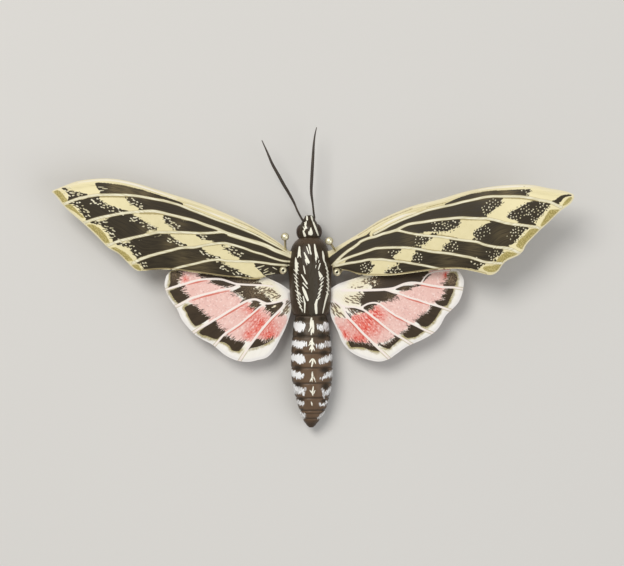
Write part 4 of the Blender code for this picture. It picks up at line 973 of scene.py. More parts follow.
# ---------------------------------------------------------------- antennae, pins and legs, in mm
ANTENNA_HEIGHT = 4.6
ANTENNA_ARCH = 0.5
ANTENNA_SWELL = 0.29
ANTENNA_RINGS = 44
ANTENNAE = {
    "left_antenna": (
        (-0.75, 10.6), (-1.2, 11.2), (-1.9, 12.5), (-2.6, 14.2), (-3.55, 16.0), (-4.3, 17.3),
        (-5.35, 19.3),
        (-6.25, 21.0), (-7.1, 23.1), (-8.0, 25.2),
    ),
    "right_antenna": (
        (0.7, 10.6), (0.95, 11.35), (0.85, 12.3), (0.7, 14.0), (0.5, 16.0), (0.63, 18.3), (0.8, 20.6),
        (0.95, 22.5),
        (1.1, 24.3), (1.35, 26.0), (1.67, 27.3),
    ),
}
# Pins: (centre of the ball, hole, height of the point).
PINS = {
    "left_front_pin": ((-4.22, 8.13, 8.3), (-4.22, 5.9, 4.95), 2.9),
    "left_rear_pin": ((-4.66, 2.31, 6.3), (-4.66, 2.31, 4.95), 0.3),
    "right_front_pin": ((3.43, 7.25, 8.0), (4.55, 5.5, 4.98), 2.9),
    "right_rear_pin": ((4.7, 1.8, 6.3), (4.7, 1.8, 5.0), 0.3),
}
BALL = 0.7
SHANK = 0.2
POINT = 0.7
PIN_SIDES = 40
# The middle of a ball's top: (depth below its crown, radius).
PITTED_TOP = ((0.34, 0.01), (0.32, 0.14), (0.14, 0.19), (0.05, 0.21))
ROUND_TOP = ((0.0, 0.01), (0.003, 0.06), (0.008, 0.1), (0.018, 0.15))
# Legs: (share of the length, radius), how straight they are between joints, where the foot starts,
# and the joints of the right ones.
LEG_RADII = (
    (0, 0.24), (0.02, 0.34), (0.12, 0.38), (0.3, 0.3), (0.34, 0.24), (0.4, 0.29), (0.6, 0.22),
    (0.66, 0.17),
    (0.7, 0.18), (1.0, 0.12),
)
LEG_STIFFNESS = 0.75
FOOT = 0.66
FOOT_JOINTS = 5
LEGS = {
    "front_leg": ((3.35, 4.7, 1.1), (5.3, 5.2, 1.7), (7.2, 4.2, 0.5), (9.4, 3.1, 0.17)),
    "middle_leg": ((3.6, 3.0, 1.1), (6.3, 3.4, 1.9), (9.4, 2.5, 0.5), (12.4, 1.7, 0.17)),
    "hind_leg": ((3.35, -1.4, 1.1), (5.6, -1.8, 1.8), (8.0, -4.6, 0.5), (9.4, -7.8, 0.17)),
}


# ---------------------------------------------------------------- curves and fields
def smooth(points, steps, closed=False):
    """A Catmull-Rom curve through the points, with this many steps between two of them."""
    route = np.asarray(points, float)
    if closed:
        ends = np.vstack((route[-1:], route, route[:2]))
    else:
        ends = np.vstack((2 * route[:1] - route[1:2], route, 2 * route[-1:] - route[-2:-1]))
    t = (np.arange(steps) / steps)[:, None]
    parts = []
    for a, b, c, d in zip(ends, ends[1:], ends[2:], ends[3:]):
        bend = (2 * a - 5 * b + 4 * c - d) * t ** 2
        twist = (3 * b - a - 3 * c + d) * t ** 3
        parts.append((2 * b + (c - a) * t + bend + twist) / 2)
    parts.append(route[:1] if closed else route[-1:])
    return np.vstack(parts)


def length_of(path):
    return float(np.sum(np.linalg.norm(np.diff(path, axis=0), axis=1)))


def shares(path):
    """How far along its length each point of a path lies, from 0 to 1."""
    steps = np.linalg.norm(np.diff(path, axis=0), axis=1)
    along = np.concatenate(([0.0], np.cumsum(steps)))
    return along / along[-1]


def at(path, where):
    """The points at these shares of a path's length."""
    along = shares(path)
    return np.stack([np.interp(where, along, path[:, k]) for k in range(path.shape[1])], axis=1)


def blend(value, low, high):
    """0 below low, 1 above high, and a smooth rise between."""
    t = np.clip((value - low) / (high - low), 0.0, 1.0)
    return t * t * (3 - 2 * t)


def distance(places, path):
    """Distance from each place to a path, and the share of the path at its nearest point."""
    along = shares(path)
    nearest = np.full(len(places), np.inf)
    share = np.zeros(len(places))
    for i, (start, end) in enumerate(zip(path, path[1:])):
        run = end - start
        length = float(run @ run)
        if length == 0.0:
            continue
        t = np.clip((places - start) @ run / length, 0.0, 1.0)
        gap = np.linalg.norm(places - start - t[:, None] * run, axis=1)
        closer = gap < nearest
        nearest[closer] = gap[closer]
        share[closer] = along[i] + (along[i + 1] - along[i]) * t[closer]
    return nearest, share


def around(places, path, reach):
    """Which places lie in the box around a path."""
    low = path.min(axis=0) - reach
    high = path.max(axis=0) + reach
    return np.flatnonzero(((places >= low) & (places <= high)).all(axis=1))


def inside(places, loop):
    """Whether each place lies inside a closed loop."""
    odd = np.zeros(len(places), bool)
    x, y = places[:, 0], places[:, 1]
    for (x0, y0), (x1, y1) in zip(loop, loop[1:]):
        if y0 == y1:
            continue
        crosses = (y0 > y) != (y1 > y)
        odd ^= crosses & (x < x0 + (y - y0) * (x1 - x0) / (y1 - y0))
    return odd


def empty(places):
    return np.full(len(places), -REACH)


def fill(field, places, loop, steps=4):
    """Adds a painted area: the field is the distance inside its edge, below 0 outside it."""
    path = smooth(loop, steps, closed=True)
    near = around(places, path, REACH)
    gap, _ = distance(places[near], path)
    signed = np.where(inside(places[near], path), gap, -gap)
    field[near] = np.maximum(field[near], signed)


def draw(field, places, points, widths, steps=4):
    """Adds a painted line of these widths along the points."""
    path = smooth(points, steps) if steps > 1 else np.asarray(points, float)
    near = around(places, path, REACH)
    gap, share = distance(places[near], path)
    half = np.interp(share, np.linspace(0, 1, len(widths)), widths) / 2
    field[near] = np.maximum(field[near], half - gap)


def turned(way, angle):
    """A plan direction turned by an angle."""
    c, n = math.cos(angle), math.sin(angle)
    return np.array((way[0] * c - way[1] * n, way[0] * n + way[1] * c))


def bristles(rng, loop, span, grain, inward, per_mm, start, length, width, lean, apart):
    """Short strokes that cross a stretch of a loop, along the wing's grain: (from, to, width).

    span is the stretch, as (first point, last point), and grain gives the wing's own direction at
    a place. start is how far from the edge they begin and length how long they are, as ranges in mm.
    lean is how far they may turn from the grain, in radians, and apart keeps their starts apart.
    """
    path = smooth([loop[k % len(loop)] for k in range(span[0], span[1] + 1)], 6)
    closed = np.asarray((*loop, loop[0]), float)
    area = np.sum(closed[:-1, 0] * closed[1:, 1] - closed[1:, 0] * closed[:-1, 1])
    side = (1.0 if area > 0 else -1.0) * (1.0 if inward else -1.0)
    total = length_of(path)
    count = max(2, round(total * per_mm))
    strokes = []
    for _ in range(TRIES * count):
        if len(strokes) == count:
            break
        share = rng.uniform(0.02, 0.98)
        here, there = at(path, np.array((share - 0.02, share + 0.02)))
        run = (there - here) / np.linalg.norm(there - here)
        normal = side * np.array((-run[1], run[0]))
        base = (here + there) / 2 + normal * rng.uniform(*start)
        if any(np.linalg.norm(base - other) < apart for other, _, _ in strokes):
            continue
        way = grain(base)
        if way @ normal < 0:
            way = -way
        tip = base + turned(way, rng.uniform(-lean, lean)) * rng.uniform(*length)
        strokes.append((base, tip, rng.uniform(*width)))
    return strokes


def scatter(rng, centre, reach, angle, count, length, width, lean):
    """Short strokes strewn over an oval, all near one angle, in degrees."""
    strokes = []
    for _ in range(count):
        turn = rng.uniform(0, 2 * math.pi)
        out = math.sqrt(rng.uniform(0, 1))
        base = np.array(centre) + out * np.array((reach[0] * math.cos(turn), reach[1] * math.sin(turn)))
        way = turned(np.array((1.0, 0.0)), math.radians(angle) + rng.uniform(-lean, lean))
        half = way * rng.uniform(*length) / 2
        strokes.append((base - half, base + half, rng.uniform(*width)))
    return strokes


# ---------------------------------------------------------------- meshes
def link(name, data):
    thing = bpy.data.objects.new(name, data)
    bpy.context.scene.collection.objects.link(thing)
    return thing


def piece(name, verts, faces, look, node="", fields=None, vectors=None):
    """A smooth piece of verts in mm, with a float or vector attribute for each field."""
    mesh = bpy.data.meshes.new(name)
    mesh.from_pydata((verts * MM).tolist(), [], faces)
    for field, values in (fields or {}).items():
        layer = mesh.attributes.new(field, "FLOAT", "POINT")
        layer.data.foreach_set("value", np.asarray(values, np.float32))
    for field, values in (vectors or {}).items():
        layer = mesh.attributes.new(field, "FLOAT_VECTOR", "POINT")
        layer.data.foreach_set("vector", np.asarray(values, np.float32).ravel())
    mesh.shade_smooth()
    mesh.update()
    mesh.materials.append(look)
    thing = link(name, mesh)
    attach(thing, "root")
    if node:
        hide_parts(node)


def grid_faces(rows, columns, first=0, wrap=False, flip=False):
    """The quads of a grid of verts, row by row."""
    wide = columns if wrap else columns - 1
    i, j = np.meshgrid(np.arange(rows - 1), np.arange(wide), indexing="ij")
    beside = (j + 1) % columns
    quads = np.stack((
        i * columns + j, (i + 1) * columns + j, (i + 1) * columns + beside, i * columns + beside,
    ), axis=-1).reshape(-1, 4) + first
    return quads[:, ::-1] if flip else quads


def closed_faces(rows, columns):
    """The faces of rings of verts, with both ends closed."""
    faces = grid_faces(rows, columns, wrap=True, flip=True).tolist()
    faces.append(list(range(columns)))
    faces.append(list(range(rows * columns - 1, (rows - 1) * columns - 1, -1)))
    return faces


def sweep(centres, radii, side, up, count):
    """Verts of a round rod: rings of this many about the centres, along two directions."""
    angle = np.linspace(0, 2 * math.pi, count, endpoint=False)[None, :, None]
    side, up = np.atleast_2d(side)[:, None, :], np.atleast_2d(up)[:, None, :]
    ring = np.cos(angle) * side + np.sin(angle) * up
    return (centres[:, None, :] + np.asarray(radii, float)[:, None, None] * ring).reshape(-1, 3)


def wing_grid(shape):
    """Plan places of a wing's grid, root to tip by front to rear, and how the grid runs."""
    rows, columns = shape["cells"]
    front = smooth(shape["lead"], 24)
    rear = smooth(shape["trail"], 12)
    where = np.linspace(0, 1, rows)
    start = at(front, where)
    end = at(rear, where)
    side = math.copysign(1.0, start[0, 0])
    start = np.vstack((start[:1] - (side * ROOT_TUCK, 0), start))
    end = np.vstack((end[:1] - (side * ROOT_TUCK, 0), end))
    v = np.linspace(0, 1, columns)
    places = start[:, None, :] * (1 - v)[None, :, None] + end[:, None, :] * v[None, :, None]
    chord = np.linalg.norm(end - start, axis=1)
    return places.reshape(-1, 2), chord, v, side


def wing_mesh(name, fields_of, look):
    """A thin cambered plate with thin edges, raised veins and painted fields on both faces.

    The upper face has every vert of the grid. The lower one has every second.
    """
    shape = OUTLINES[name]
    places, chord, v, side = wing_grid(shape)
    rows, columns = shape["cells"][0] + 1, shape["cells"][1]
    front, _ = distance(places, smooth(shape["lead"], 5))
    rear, _ = distance(places, smooth(shape["trail"], 4))
    rim = np.minimum(front, rear)
    height = shape["root"] + shape["rise"] * np.maximum(0.0, np.abs(places[:, 0]) - WING_FLAT)
    height += (WING_CAMBER * chord[:, None] * 4 * v[None, :] * (1 - v)[None, :]).ravel()
    fields, grain = fields_of(name, places, front, rear)
    relief = VEIN_RELIEF * blend(fields["vein"], -0.25, 0.1)
    fields["under"] = np.zeros(len(places))
    half = EDGE_HALF + EDGE_GROWTH * blend(rim, 0.0, EDGE_WIDTH)
    top = np.column_stack((places, height + half + relief * blend(rim, 0.0, 0.6)))
    low = np.column_stack((places, height - half))
    count = rows * columns
    index = np.arange(count).reshape(rows, columns)
    loop = np.concatenate((index[:, 0], index[-1, 1:], index[-2::-1, -1], index[0, -2:0:-1]))
    sparse = index[::2, ::2].ravel()
    hem = np.arange(len(loop)) + count
    beyond = np.roll(hem, -1)
    wall = np.column_stack((loop, hem, beyond, np.roll(loop, -1)))
    faces = np.vstack((
        grid_faces(rows, columns, 0, flip=side > 0),
        wall if side > 0 else wall[:, ::-1],
        grid_faces((rows + 1) // 2, (columns + 1) // 2, count + len(loop), flip=side < 0),
    ))
    pick = np.concatenate((np.arange(count), loop, sparse))
    verts = np.vstack((top, low[loop], low[sparse]))
    both = {key: value[pick] for key, value in fields.items()}
    both["under"][count:] = 1.0
    piece(name + "_painted", verts, faces.tolist(), look, name, both, {"grain": grain[pick]})


def ragged_patches(name, places, fields, grain, dark_strokes, light_strokes):
    """Fills a wing's dark patches, with dark strokes out of their ragged edges and light ones in."""
    rng = random.Random(name)
    dark, light = fields["dark"], fields["light"]
    for loop, ragged in PATCHES[name]:
        fill(dark, places, loop)
        for span in ragged:
            for a, b, w in bristles(rng, loop, span, grain, False, *dark_strokes):
                draw(dark, places, (a, b), (w, w * 0.5), 1)
            for a, b, w in bristles(rng, loop, span, grain, True, *light_strokes):
                draw(light, places, (a, b), (w, w * 0.5), 1)
    for kind, *rest in SCATTERED[name]:
        for a, b, w in scatter(rng, *rest):
            draw(fields[kind], places, (a, b), (w * 0.7, w, w * 0.5), 1)
    for kind, w, strokes in SINGLES[name]:
        for x0, y0, x1, y1 in strokes:
            draw(fields[kind], places, ((x0, y0), (x1, y1)), (w * 0.7, w, w * 0.6), 1)


def areas(places, loops):
    """A field of painted areas."""
    field = empty(places)
    for loop in loops:
        fill(field, places, loop)
    return field


def lines(places, rows):
    """A field of painted lines: (widths, points)."""
    field = empty(places)
    for widths, points in rows:
        draw(field, places, points, widths)
    return field


def vein_lines(name, places):
    """The veins of a wing. Those of a hindwing run on past its edge."""
    rows = []
    for root, tip, points in VEINS[name]:
        if "hind" in name:
            (x0, y0), (x1, y1) = points[-2:]
            beyond = ((1 + OVERRUN) * x1 - OVERRUN * x0, (1 + OVERRUN) * y1 - OVERRUN * y0)
            points = (*points, beyond)
        rows.append(((root, (root + tip) / 2, tip), points))
    return lines(places, rows)


def forewing_fields(name, places, front, rear):
    fields = {key: empty(places) for key in ("dark", "light")}
    angle = math.radians(FORE_GRAIN[name])
    way = np.array((math.cos(angle), math.sin(angle)))
    ragged_patches(name, places, fields, lambda place: way, *FORE_STROKES[name])
    out = np.abs(places[:, 0])
    inner = blend(out, REAR_CORNER[name] + CORNER_HALF, REAR_CORNER[name] - CORNER_HALF)
    columns = OUTLINES[name]["cells"][1]
    across = np.tile(np.linspace(0, 12, columns), len(places) // columns)
    fields.update(
        vein=vein_lines(name, places), margin=areas(places, MARGINS[name]), front=front,
        tan=lines(places, [((width,), points) for width, points in SHADOWS[name]]),
        gleam=lines(places, [((0.1, width, 0.1), points) for width, points in GLEAMS[name]]),
        rim=np.minimum(front, rear + FAR * inner), apex=blend(out, *APEX_SPAN),
        hem=rear + FAR * (1 - inner) + HEM_ROOT[name] * blend(out, *HEM_SPAN),
        fade=soft_places(places, FADED_PLACES[name]),
    )
    return fields, np.column_stack((out, across, np.zeros(len(places))))


def soft_places(places, spots):
    """A mask from soft round places: (centre x, centre y, radius, strength)."""
    mask = np.zeros(len(places))
    for x, y, radius, strength in spots:
        gap = np.linalg.norm(places - (x, y), axis=1) / radius
        mask = 1 - (1 - mask) * (1 - strength * np.exp(-gap ** 2))
    return mask


def hindwing_fields(name, places, front, rear):
    fields = {key: empty(places) for key in ("dark", "light", "ink", "umber")}
    pivot = np.array(WING_PIVOTS[name])

    def outward(place):
        return (place - pivot) / np.linalg.norm(place - pivot)

    ragged_patches(name, places, fields, outward, *HIND_STROKES)
    ray = places - pivot
    turn = np.unwrap(np.arctan2(ray[:, 1], np.abs(ray[:, 0])))
    out = np.linalg.norm(ray, axis=1)
    fields.update(
        vein=vein_lines(name, places), rim=np.minimum(front, rear), blush=areas(places, [BLUSH[name]]),
        red=lines(places, [((0.08, 0.3, 0.08), points) for points in RED_LINES[name]]),
        glow=soft_places(places, RED_PLACES[name]), straw=soft_places(places, STRAW_PLACES[name]),
        fade=soft_places(places, FADED_PLACES[name]), outer=blend(out, *OUTER_SPAN),
    )
    return fields, np.column_stack((out, turn * 10, np.zeros(len(places))))


# ---------------------------------------------------------------- materials
def srgb(*levels):
    """A linear colour from three screen levels of 0 to 255."""
    return tuple(((level / 255 + 0.055) / 1.055) ** 2.4 for level in levels)


class Paint:
    """A material built from small node calls. Each call gives back an output socket."""

    def __init__(self, name):
        self.material = bpy.data.materials.new(name)
        self.material.use_nodes = True
        self.tree = self.material.node_tree
        self.shader = self.tree.nodes["Principled BSDF"]
        self.place = self.new("ShaderNodeTexCoord").outputs["Object"]

    def new(self, kind):
        return self.tree.nodes.new(kind)

    def put(self, socket, value):
        if isinstance(value, bpy.types.NodeSocket):
            self.tree.links.new(value, socket)
        elif isinstance(value, tuple) and socket.type == "RGBA":
            socket.default_value = (*value, 1.0)
        else:
            socket.default_value = value

    def math(self, operation, *values):
        node = self.new("ShaderNodeMath")
        node.operation = operation
        for socket, value in zip(node.inputs, values):
            self.put(socket, value)
        return node.outputs[0]

    def plus(self, first, second):
        return self.math("ADD", first, second)

    def times(self, first, second):
        return self.math("MULTIPLY", first, second)

    def field(self, name, output="Fac"):
        node = self.new("ShaderNodeAttribute")
        node.attribute_name = name
        return node.outputs[output]

    def noise(self, place, stretch, detail=2.0, roughness=0.5):
        """Noise of this many cells a unit along each axis of the place."""
        turn = self.new("ShaderNodeMapping")
        self.put(turn.inputs["Vector"], place)
        turn.inputs["Scale"].default_value = stretch
        node = self.new("ShaderNodeTexNoise")
        self.put(node.inputs["Vector"], turn.outputs[0])
        node.inputs["Scale"].default_value = 1.0
        node.inputs["Detail"].default_value = detail
        node.inputs["Roughness"].default_value = roughness
        return node.outputs["Fac"]

    def step(self, value, low, high, top=1.0):
        """0 to top as the value goes from low to high."""
        node = self.new("ShaderNodeMapRange")
        node.interpolation_type = "SMOOTHSTEP"
        self.put(node.inputs["Value"], value)
        node.inputs["From Min"].default_value = low
        node.inputs["From Max"].default_value = high
        node.inputs["To Max"].default_value = top
        return node.outputs["Result"]

    def swing(self, value, amount):
        """Noise turned into a number between minus and plus this amount."""
        return self.times(self.math("SUBTRACT", value, 0.5), 2 * amount)

    def edged(self, name, noise, amount):
        """A field whose edge is moved to and fro by noise, by up to this amount in mm."""
        return self.plus(self.field(name), self.swing(noise, amount))

    def mix(self, factor, first, second):
        node = self.new("ShaderNodeMix")
        node.data_type = "RGBA"
        self.put(node.inputs[0], factor)
        self.put(node.inputs[6], first)
        self.put(node.inputs[7], second)
        return node.outputs[2]

    def cover(self, colour, roughness):
        self.put(self.shader.inputs["Base Color"], colour)
        self.put(self.shader.inputs["Roughness"], roughness)

    def bump(self, height, depth):
        """Bump of a height field whose full range is this deep, in mm."""
        node = self.new("ShaderNodeBump")
        node.inputs["Distance"].default_value = depth * MM
        self.put(node.inputs["Height"], height)
        self.put(self.shader.inputs["Normal"], node.outputs[0])


def cells(*per_mm):
    """Noise cells a metre, from cells a mm."""
    return tuple(value / MM for value in per_mm)


def forewing_look():
    paint = Paint("painted forewing")
    grain = paint.field("grain", "Vector")
    streak = paint.noise(grain, (0.35, 5.0, 1.0), 3.0, 0.6)
    lines = paint.noise(grain, (0.12, 9.0, 1.0), 2.0, 0.5)
    mottle = paint.noise(paint.place, cells(0.9, 0.9, 0.9), 3.0, 0.6)
    fleck = paint.noise(paint.place, cells(5, 5, 5), 2.0, 0.6)
    wobble = paint.swing(paint.noise(paint.place, cells(3.2, 3.2, 3.2), 2.0, 0.6), 0.1)
    vein = paint.field("vein")
    dark = paint.field("dark")
    front = paint.field("front")

    cream = paint.mix(mottle, srgb(222, 211, 164), srgb(238, 228, 186))
    cream = paint.mix(paint.step(fleck, 0.6, 0.78, 0.3), cream, srgb(186, 170, 120))
    apex = paint.times(paint.field("apex"), 0.75)
    cream = paint.mix(apex, cream, srgb(243, 233, 188))
    band = paint.times(paint.step(front, 1.7, 1.1), paint.step(lines, 0.48, 0.6, 0.5))
    cream = paint.mix(band, cream, srgb(172, 158, 112))
    cream = paint.mix(paint.step(front, 0.85, 0.3, 0.4), cream, srgb(238, 230, 204))
    gleam = paint.edged("gleam", streak, 0.25)
    cream = paint.mix(paint.step(gleam, -0.16, 0.16, 0.85), cream, srgb(242, 238, 228))
    tan = paint.step(paint.plus(paint.field("tan"), wobble), -0.1, 0.1, 0.75)
    cream = paint.mix(tan, cream, srgb(150, 132, 76))
    brown = paint.mix(paint.step(streak, 0.35, 0.7), srgb(46, 39, 27), srgb(62, 54, 38))
    thin = paint.times(paint.field("fade"), paint.step(streak, 0.25, 0.6))
    brown = paint.mix(thin, brown, srgb(112, 99, 70))
    close = paint.step(vein, -0.5, -0.08, 0.3)
    edge = paint.plus(paint.plus(dark, wobble), close)
    colour = paint.mix(paint.step(edge, -0.04, 0.05), cream, brown)
    light = paint.edged("light", fleck, 0.04)
    dot = paint.mix(paint.step(mottle, 0.35, 0.65), srgb(204, 196, 160), srgb(240, 234, 208))
    colour = paint.mix(paint.step(light, -0.03, 0.05), colour, dot)
    margin = paint.edged("margin", fleck, 0.22)
    olive = paint.mix(paint.step(fleck, 0.4, 0.68), srgb(158, 144, 84), srgb(202, 188, 126))
    colour = paint.mix(paint.step(margin, -0.06, 0.08), colour, olive)
    shadow = paint.step(vein, -0.16, -0.03, 0.45)
    colour = paint.mix(shadow, colour, srgb(148, 132, 84))
    white = paint.mix(paint.step(streak, 0.3, 0.7), srgb(208, 200, 164), srgb(246, 242, 218))
    colour = paint.mix(paint.step(vein, -0.04, 0.04), colour, white)
    hem = paint.field("hem")
    line = paint.times(paint.step(hem, 0.34, 0.22), paint.step(hem, 0.06, 0.12, 0.75))
    colour = paint.mix(line, colour, srgb(176, 160, 118))
    rim = paint.edged("rim", mottle, 0.1)
    colour = paint.mix(paint.step(rim, 0.28, 0.14, 0.7), colour, srgb(226, 218, 188))
    plain = paint.mix(mottle, srgb(150, 134, 100), srgb(190, 174, 136))
    colour = paint.mix(paint.times(paint.field("under"), 0.72), colour, plain)
    paint.cover(colour, paint.step(streak, -0.6, 1.2, 0.8))
    paint.shader.inputs["Specular IOR Level"].default_value = 0.22
    paint.bump(paint.plus(streak, paint.step(vein, -0.2, 0.1, 0.8)), 0.015)
    return paint.material


def hindwing_look():
    paint = Paint("painted hindwing")
    grain = paint.field("grain", "Vector")
    hair = paint.noise(grain, (1.1, 6.5, 1.0), 2.0, 0.55)
    streak = paint.noise(grain, (0.4, 3.0, 1.0), 3.0, 0.6)
    mottle = paint.noise(paint.place, cells(0.8, 0.8, 0.8), 3.0, 0.6)
    fleck = paint.noise(paint.place, cells(5, 5, 5), 2.0, 0.6)
    freckle = paint.noise(paint.place, cells(2.6, 2.6, 2.6), 1.0, 0.5)
    speck = paint.noise(grain, (2.2, 3.6, 1.0), 1.0, 0.5)
    vein = paint.field("vein")
    dark = paint.field("dark")
    rim = paint.field("rim")

    white = paint.mix(streak, srgb(239, 234, 224), srgb(255, 254, 249))
    white = paint.mix(paint.step(rim, 0.9, 0.2, 0.6), white, srgb(242, 240, 240))
    straw = paint.field("straw")
    dash = paint.noise(grain, (1.5, 3.4, 1.0), 2.0, 0.6)
    white = paint.mix(paint.times(straw, 0.9), white, srgb(236, 226, 186))
    dashes = paint.plus(dash, paint.times(straw, 0.16))
    white = paint.mix(paint.step(dashes, 0.7, 0.76, 0.5), white, srgb(168, 146, 98))
    outer = paint.times(paint.step(rim, 2.8, 1.8), paint.step(fleck, 0.15, 0.5))
    cloudy = paint.plus(dark, paint.swing(mottle, 0.5))
    halo = paint.times(paint.step(cloudy, -0.6, -0.05), outer)
    halo = paint.times(halo, paint.field("outer"))
    ground = paint.mix(paint.times(halo, 0.9), white, srgb(160, 146, 86))
    lining = paint.times(paint.step(vein, -0.22, -0.04), paint.step(rim, 2.2, 1.5, 0.7))
    lining = paint.times(lining, paint.field("outer"))
    ground = paint.mix(lining, ground, srgb(184, 170, 124))
    pink = paint.mix(mottle, srgb(226, 176, 168), srgb(249, 217, 208))
    pink = paint.mix(paint.step(freckle, 0.58, 0.72, 0.6), pink, srgb(204, 164, 160))
    glow = paint.times(paint.field("glow"), paint.step(fleck, 0.0, 0.55))
    pink = paint.mix(glow, pink, srgb(231, 96, 78))
    deep = paint.times(paint.field("glow"), paint.step(speck, 0.48, 0.36))
    pink = paint.mix(deep, pink, srgb(204, 60, 50))
    pink = paint.mix(paint.step(speck, 0.58, 0.66, 0.6), pink, srgb(253, 228, 222))
    blush = paint.edged("blush", hair, 0.5)
    colour = paint.mix(paint.step(blush, -0.15, 0.3), ground, pink)
    red = paint.edged("red", fleck, 0.05)
    colour = paint.mix(paint.step(red, -0.08, 0.05, 0.85), colour, srgb(214, 106, 88))
    brown = paint.mix(streak, srgb(44, 35, 24), srgb(76, 62, 46))
    worn = paint.times(paint.field("fade"), paint.step(fleck, 0.3, 0.75))
    brown = paint.mix(worn, brown, srgb(158, 136, 108))
    close = paint.math("SUBTRACT", 1.0, paint.times(paint.field("outer"), 0.6))
    close = paint.times(paint.step(vein, -0.34, -0.02, 0.3), close)
    wobble = paint.plus(paint.swing(fleck, 0.07), close)
    edge = paint.plus(dark, wobble)
    colour = paint.mix(paint.step(edge, -0.05, 0.06), colour, brown)
    light = paint.edged("light", fleck, 0.03)
    tint = paint.mix(paint.field("outer"), srgb(240, 231, 204), srgb(240, 216, 205))
    colour = paint.mix(paint.step(light, -0.03, 0.03), colour, tint)
    umber = paint.edged("umber", fleck, 0.04)
    colour = paint.mix(paint.step(umber, -0.08, 0.01, 0.9), colour, srgb(97, 73, 49))
    pale = paint.mix(streak, srgb(240, 225, 218), srgb(253, 248, 243))
    colour = paint.mix(paint.step(vein, -0.05, 0.05), colour, pale)
    colour = paint.mix(paint.step(paint.field("ink"), -0.04, 0.05, 0.9), colour, srgb(58, 48, 66))
    plain = paint.mix(mottle, srgb(190, 150, 138), srgb(216, 184, 168))
    colour = paint.mix(paint.times(paint.field("under"), 0.6), colour, plain)
    paint.cover(colour, paint.step(streak, -0.6, 1.2, 0.8))
    paint.shader.inputs["Specular IOR Level"].default_value = 0.22
    paint.bump(paint.plus(hair, paint.step(vein, -0.2, 0.1, 0.8)), 0.015)
    return paint.material


def body_look():
    paint = Paint("painted body")
    brush = paint.noise(paint.place, cells(4.5, 0.6, 4.5), 3.0, 0.6)
    mottle = paint.noise(paint.place, cells(0.7, 0.7, 0.7), 2.0, 0.5)
    fleck = paint.noise(paint.place, cells(6, 2.5, 6), 2.0, 0.6)
    base = paint.mix(brush, srgb(46, 38, 28), srgb(72, 60, 45))
    warm = paint.mix(mottle, srgb(94, 73, 55), srgb(122, 99, 78))
    # The warm field is less on the abdomen's sides, a painted shade, and more at the thorax's front rim,
    # a painted highlight.
    base = paint.mix(paint.field("warm"), base, warm)
    base = paint.mix(paint.field("grey"), base, srgb(72, 68, 58))
    # The shade field holds the grooves, painted lines, tip and black marks, and painted shade on the
    # abdomen's sides.
    base = paint.mix(paint.field("shade"), base, srgb(31, 26, 18))
    hairs = paint.noise(paint.place, cells(4.6, 0.6, 2.6), 2.0, 0.6)
    hairs = paint.swing(paint.step(hairs, 0.36, 0.64), 0.2)
    white = paint.plus(paint.field("white"), hairs)
    snow = paint.mix(brush, srgb(240, 245, 249), srgb(255, 255, 255))
    bare = paint.noise(paint.place, cells(5.5, 0.9, 4), 2.0, 0.6)
    bare = paint.times(paint.step(bare, 0.46, 0.56), paint.field("thin"))
    snow = paint.mix(bare, snow, srgb(118, 104, 92))
    colour = paint.mix(paint.step(white, -0.03, 0.05), base, snow)
    cream = paint.edged("cream", fleck, 0.03)
    straw = paint.mix(brush, srgb(242, 239, 218), srgb(255, 255, 244))
    colour = paint.mix(paint.step(cream, -0.01, 0.03), colour, straw)
    paint.cover(colour, paint.step(brush, 0.0, 1.0, 0.75))
    paint.shader.inputs["Specular IOR Level"].default_value = 0.25
    paint.bump(brush, 0.025)
    return paint.material


def limb_look():
    paint = Paint("dark limb")
    rings = paint.noise(paint.place, cells(2, 7, 2), 2.0, 0.5)
    mottle = paint.noise(paint.place, cells(1.2, 1.2, 1.2), 2.0, 0.5)
    colour = paint.mix(rings, srgb(30, 25, 20), srgb(66, 54, 42))
    colour = paint.mix(paint.step(mottle, 0.5, 0.75, 0.5), colour, srgb(88, 74, 58))
    paint.cover(colour, paint.step(rings, 0.0, 1.0, 0.85))
    paint.bump(rings, 0.02)
    return paint.material


def eye_look():
    paint = Paint("lacquered eye")
    facets = paint.new("ShaderNodeTexVoronoi")
    facets.inputs["Scale"].default_value = 9 / MM
    paint.put(facets.inputs["Vector"], paint.place)
    mottle = paint.noise(paint.place, cells(1.5, 1.5, 1.5), 2.0, 0.5)
    colour = paint.mix(mottle, srgb(34, 24, 18), srgb(74, 54, 40))
    paint.cover(colour, paint.step(mottle, 0.0, 1.0, 0.5))
    paint.bump(facets.outputs["Distance"], 0.015)
    return paint.material


def brass_look():
    paint = Paint("pale brass pin")
    wear = paint.noise(paint.place, cells(2.5, 2.5, 2.5), 3.0, 0.6)
    scratch = paint.noise(paint.place, cells(12, 12, 3), 2.0, 0.6)
    colour = paint.mix(wear, srgb(243, 232, 186), srgb(255, 253, 234))
    # Painted shade: the ball darker from below its crown downwards, the shank a little darker.
    colour = paint.mix(paint.field("painted_shade"), colour, srgb(128, 106, 52))
    # Painted shade in the pit of an upright ball.
    colour = paint.mix(paint.field("pit"), colour, srgb(40, 24, 10))
    paint.put(paint.shader.inputs["Base Color"], colour)
    paint.shader.inputs["Metallic"].default_value = 1.0
    paint.put(paint.shader.inputs["Roughness"], paint.step(wear, -0.6, 1.6, 0.78))
    paint.bump(scratch, 0.006)
    return paint.material


# ---------------------------------------------------------------- body
def plan(x, y):
    """Where a photo pixel lies on the object, in mm."""
    across, down = (x - CENTRE[0]) * PIXEL, (CENTRE[1] - y) * PIXEL
    return across + TURN * down, down - TURN * across


def reading(pairs, where):
    """A smooth reading between (place, value) pairs that run down in place."""
    points = np.asarray(pairs, float)[::-1]
    i = np.clip(np.searchsorted(points[:, 0], where) - 1, 0, len(points) - 2)
    low, high = points[i], points[i + 1]
    t = np.clip((where - low[:, 0]) / (high[:, 0] - low[:, 0]), 0.0, 1.0)
    ease = 0.4 * t * t * (3 - 2 * t) + 0.6 * t
    return low[:, 1] + (high[:, 1] - low[:, 1]) * ease


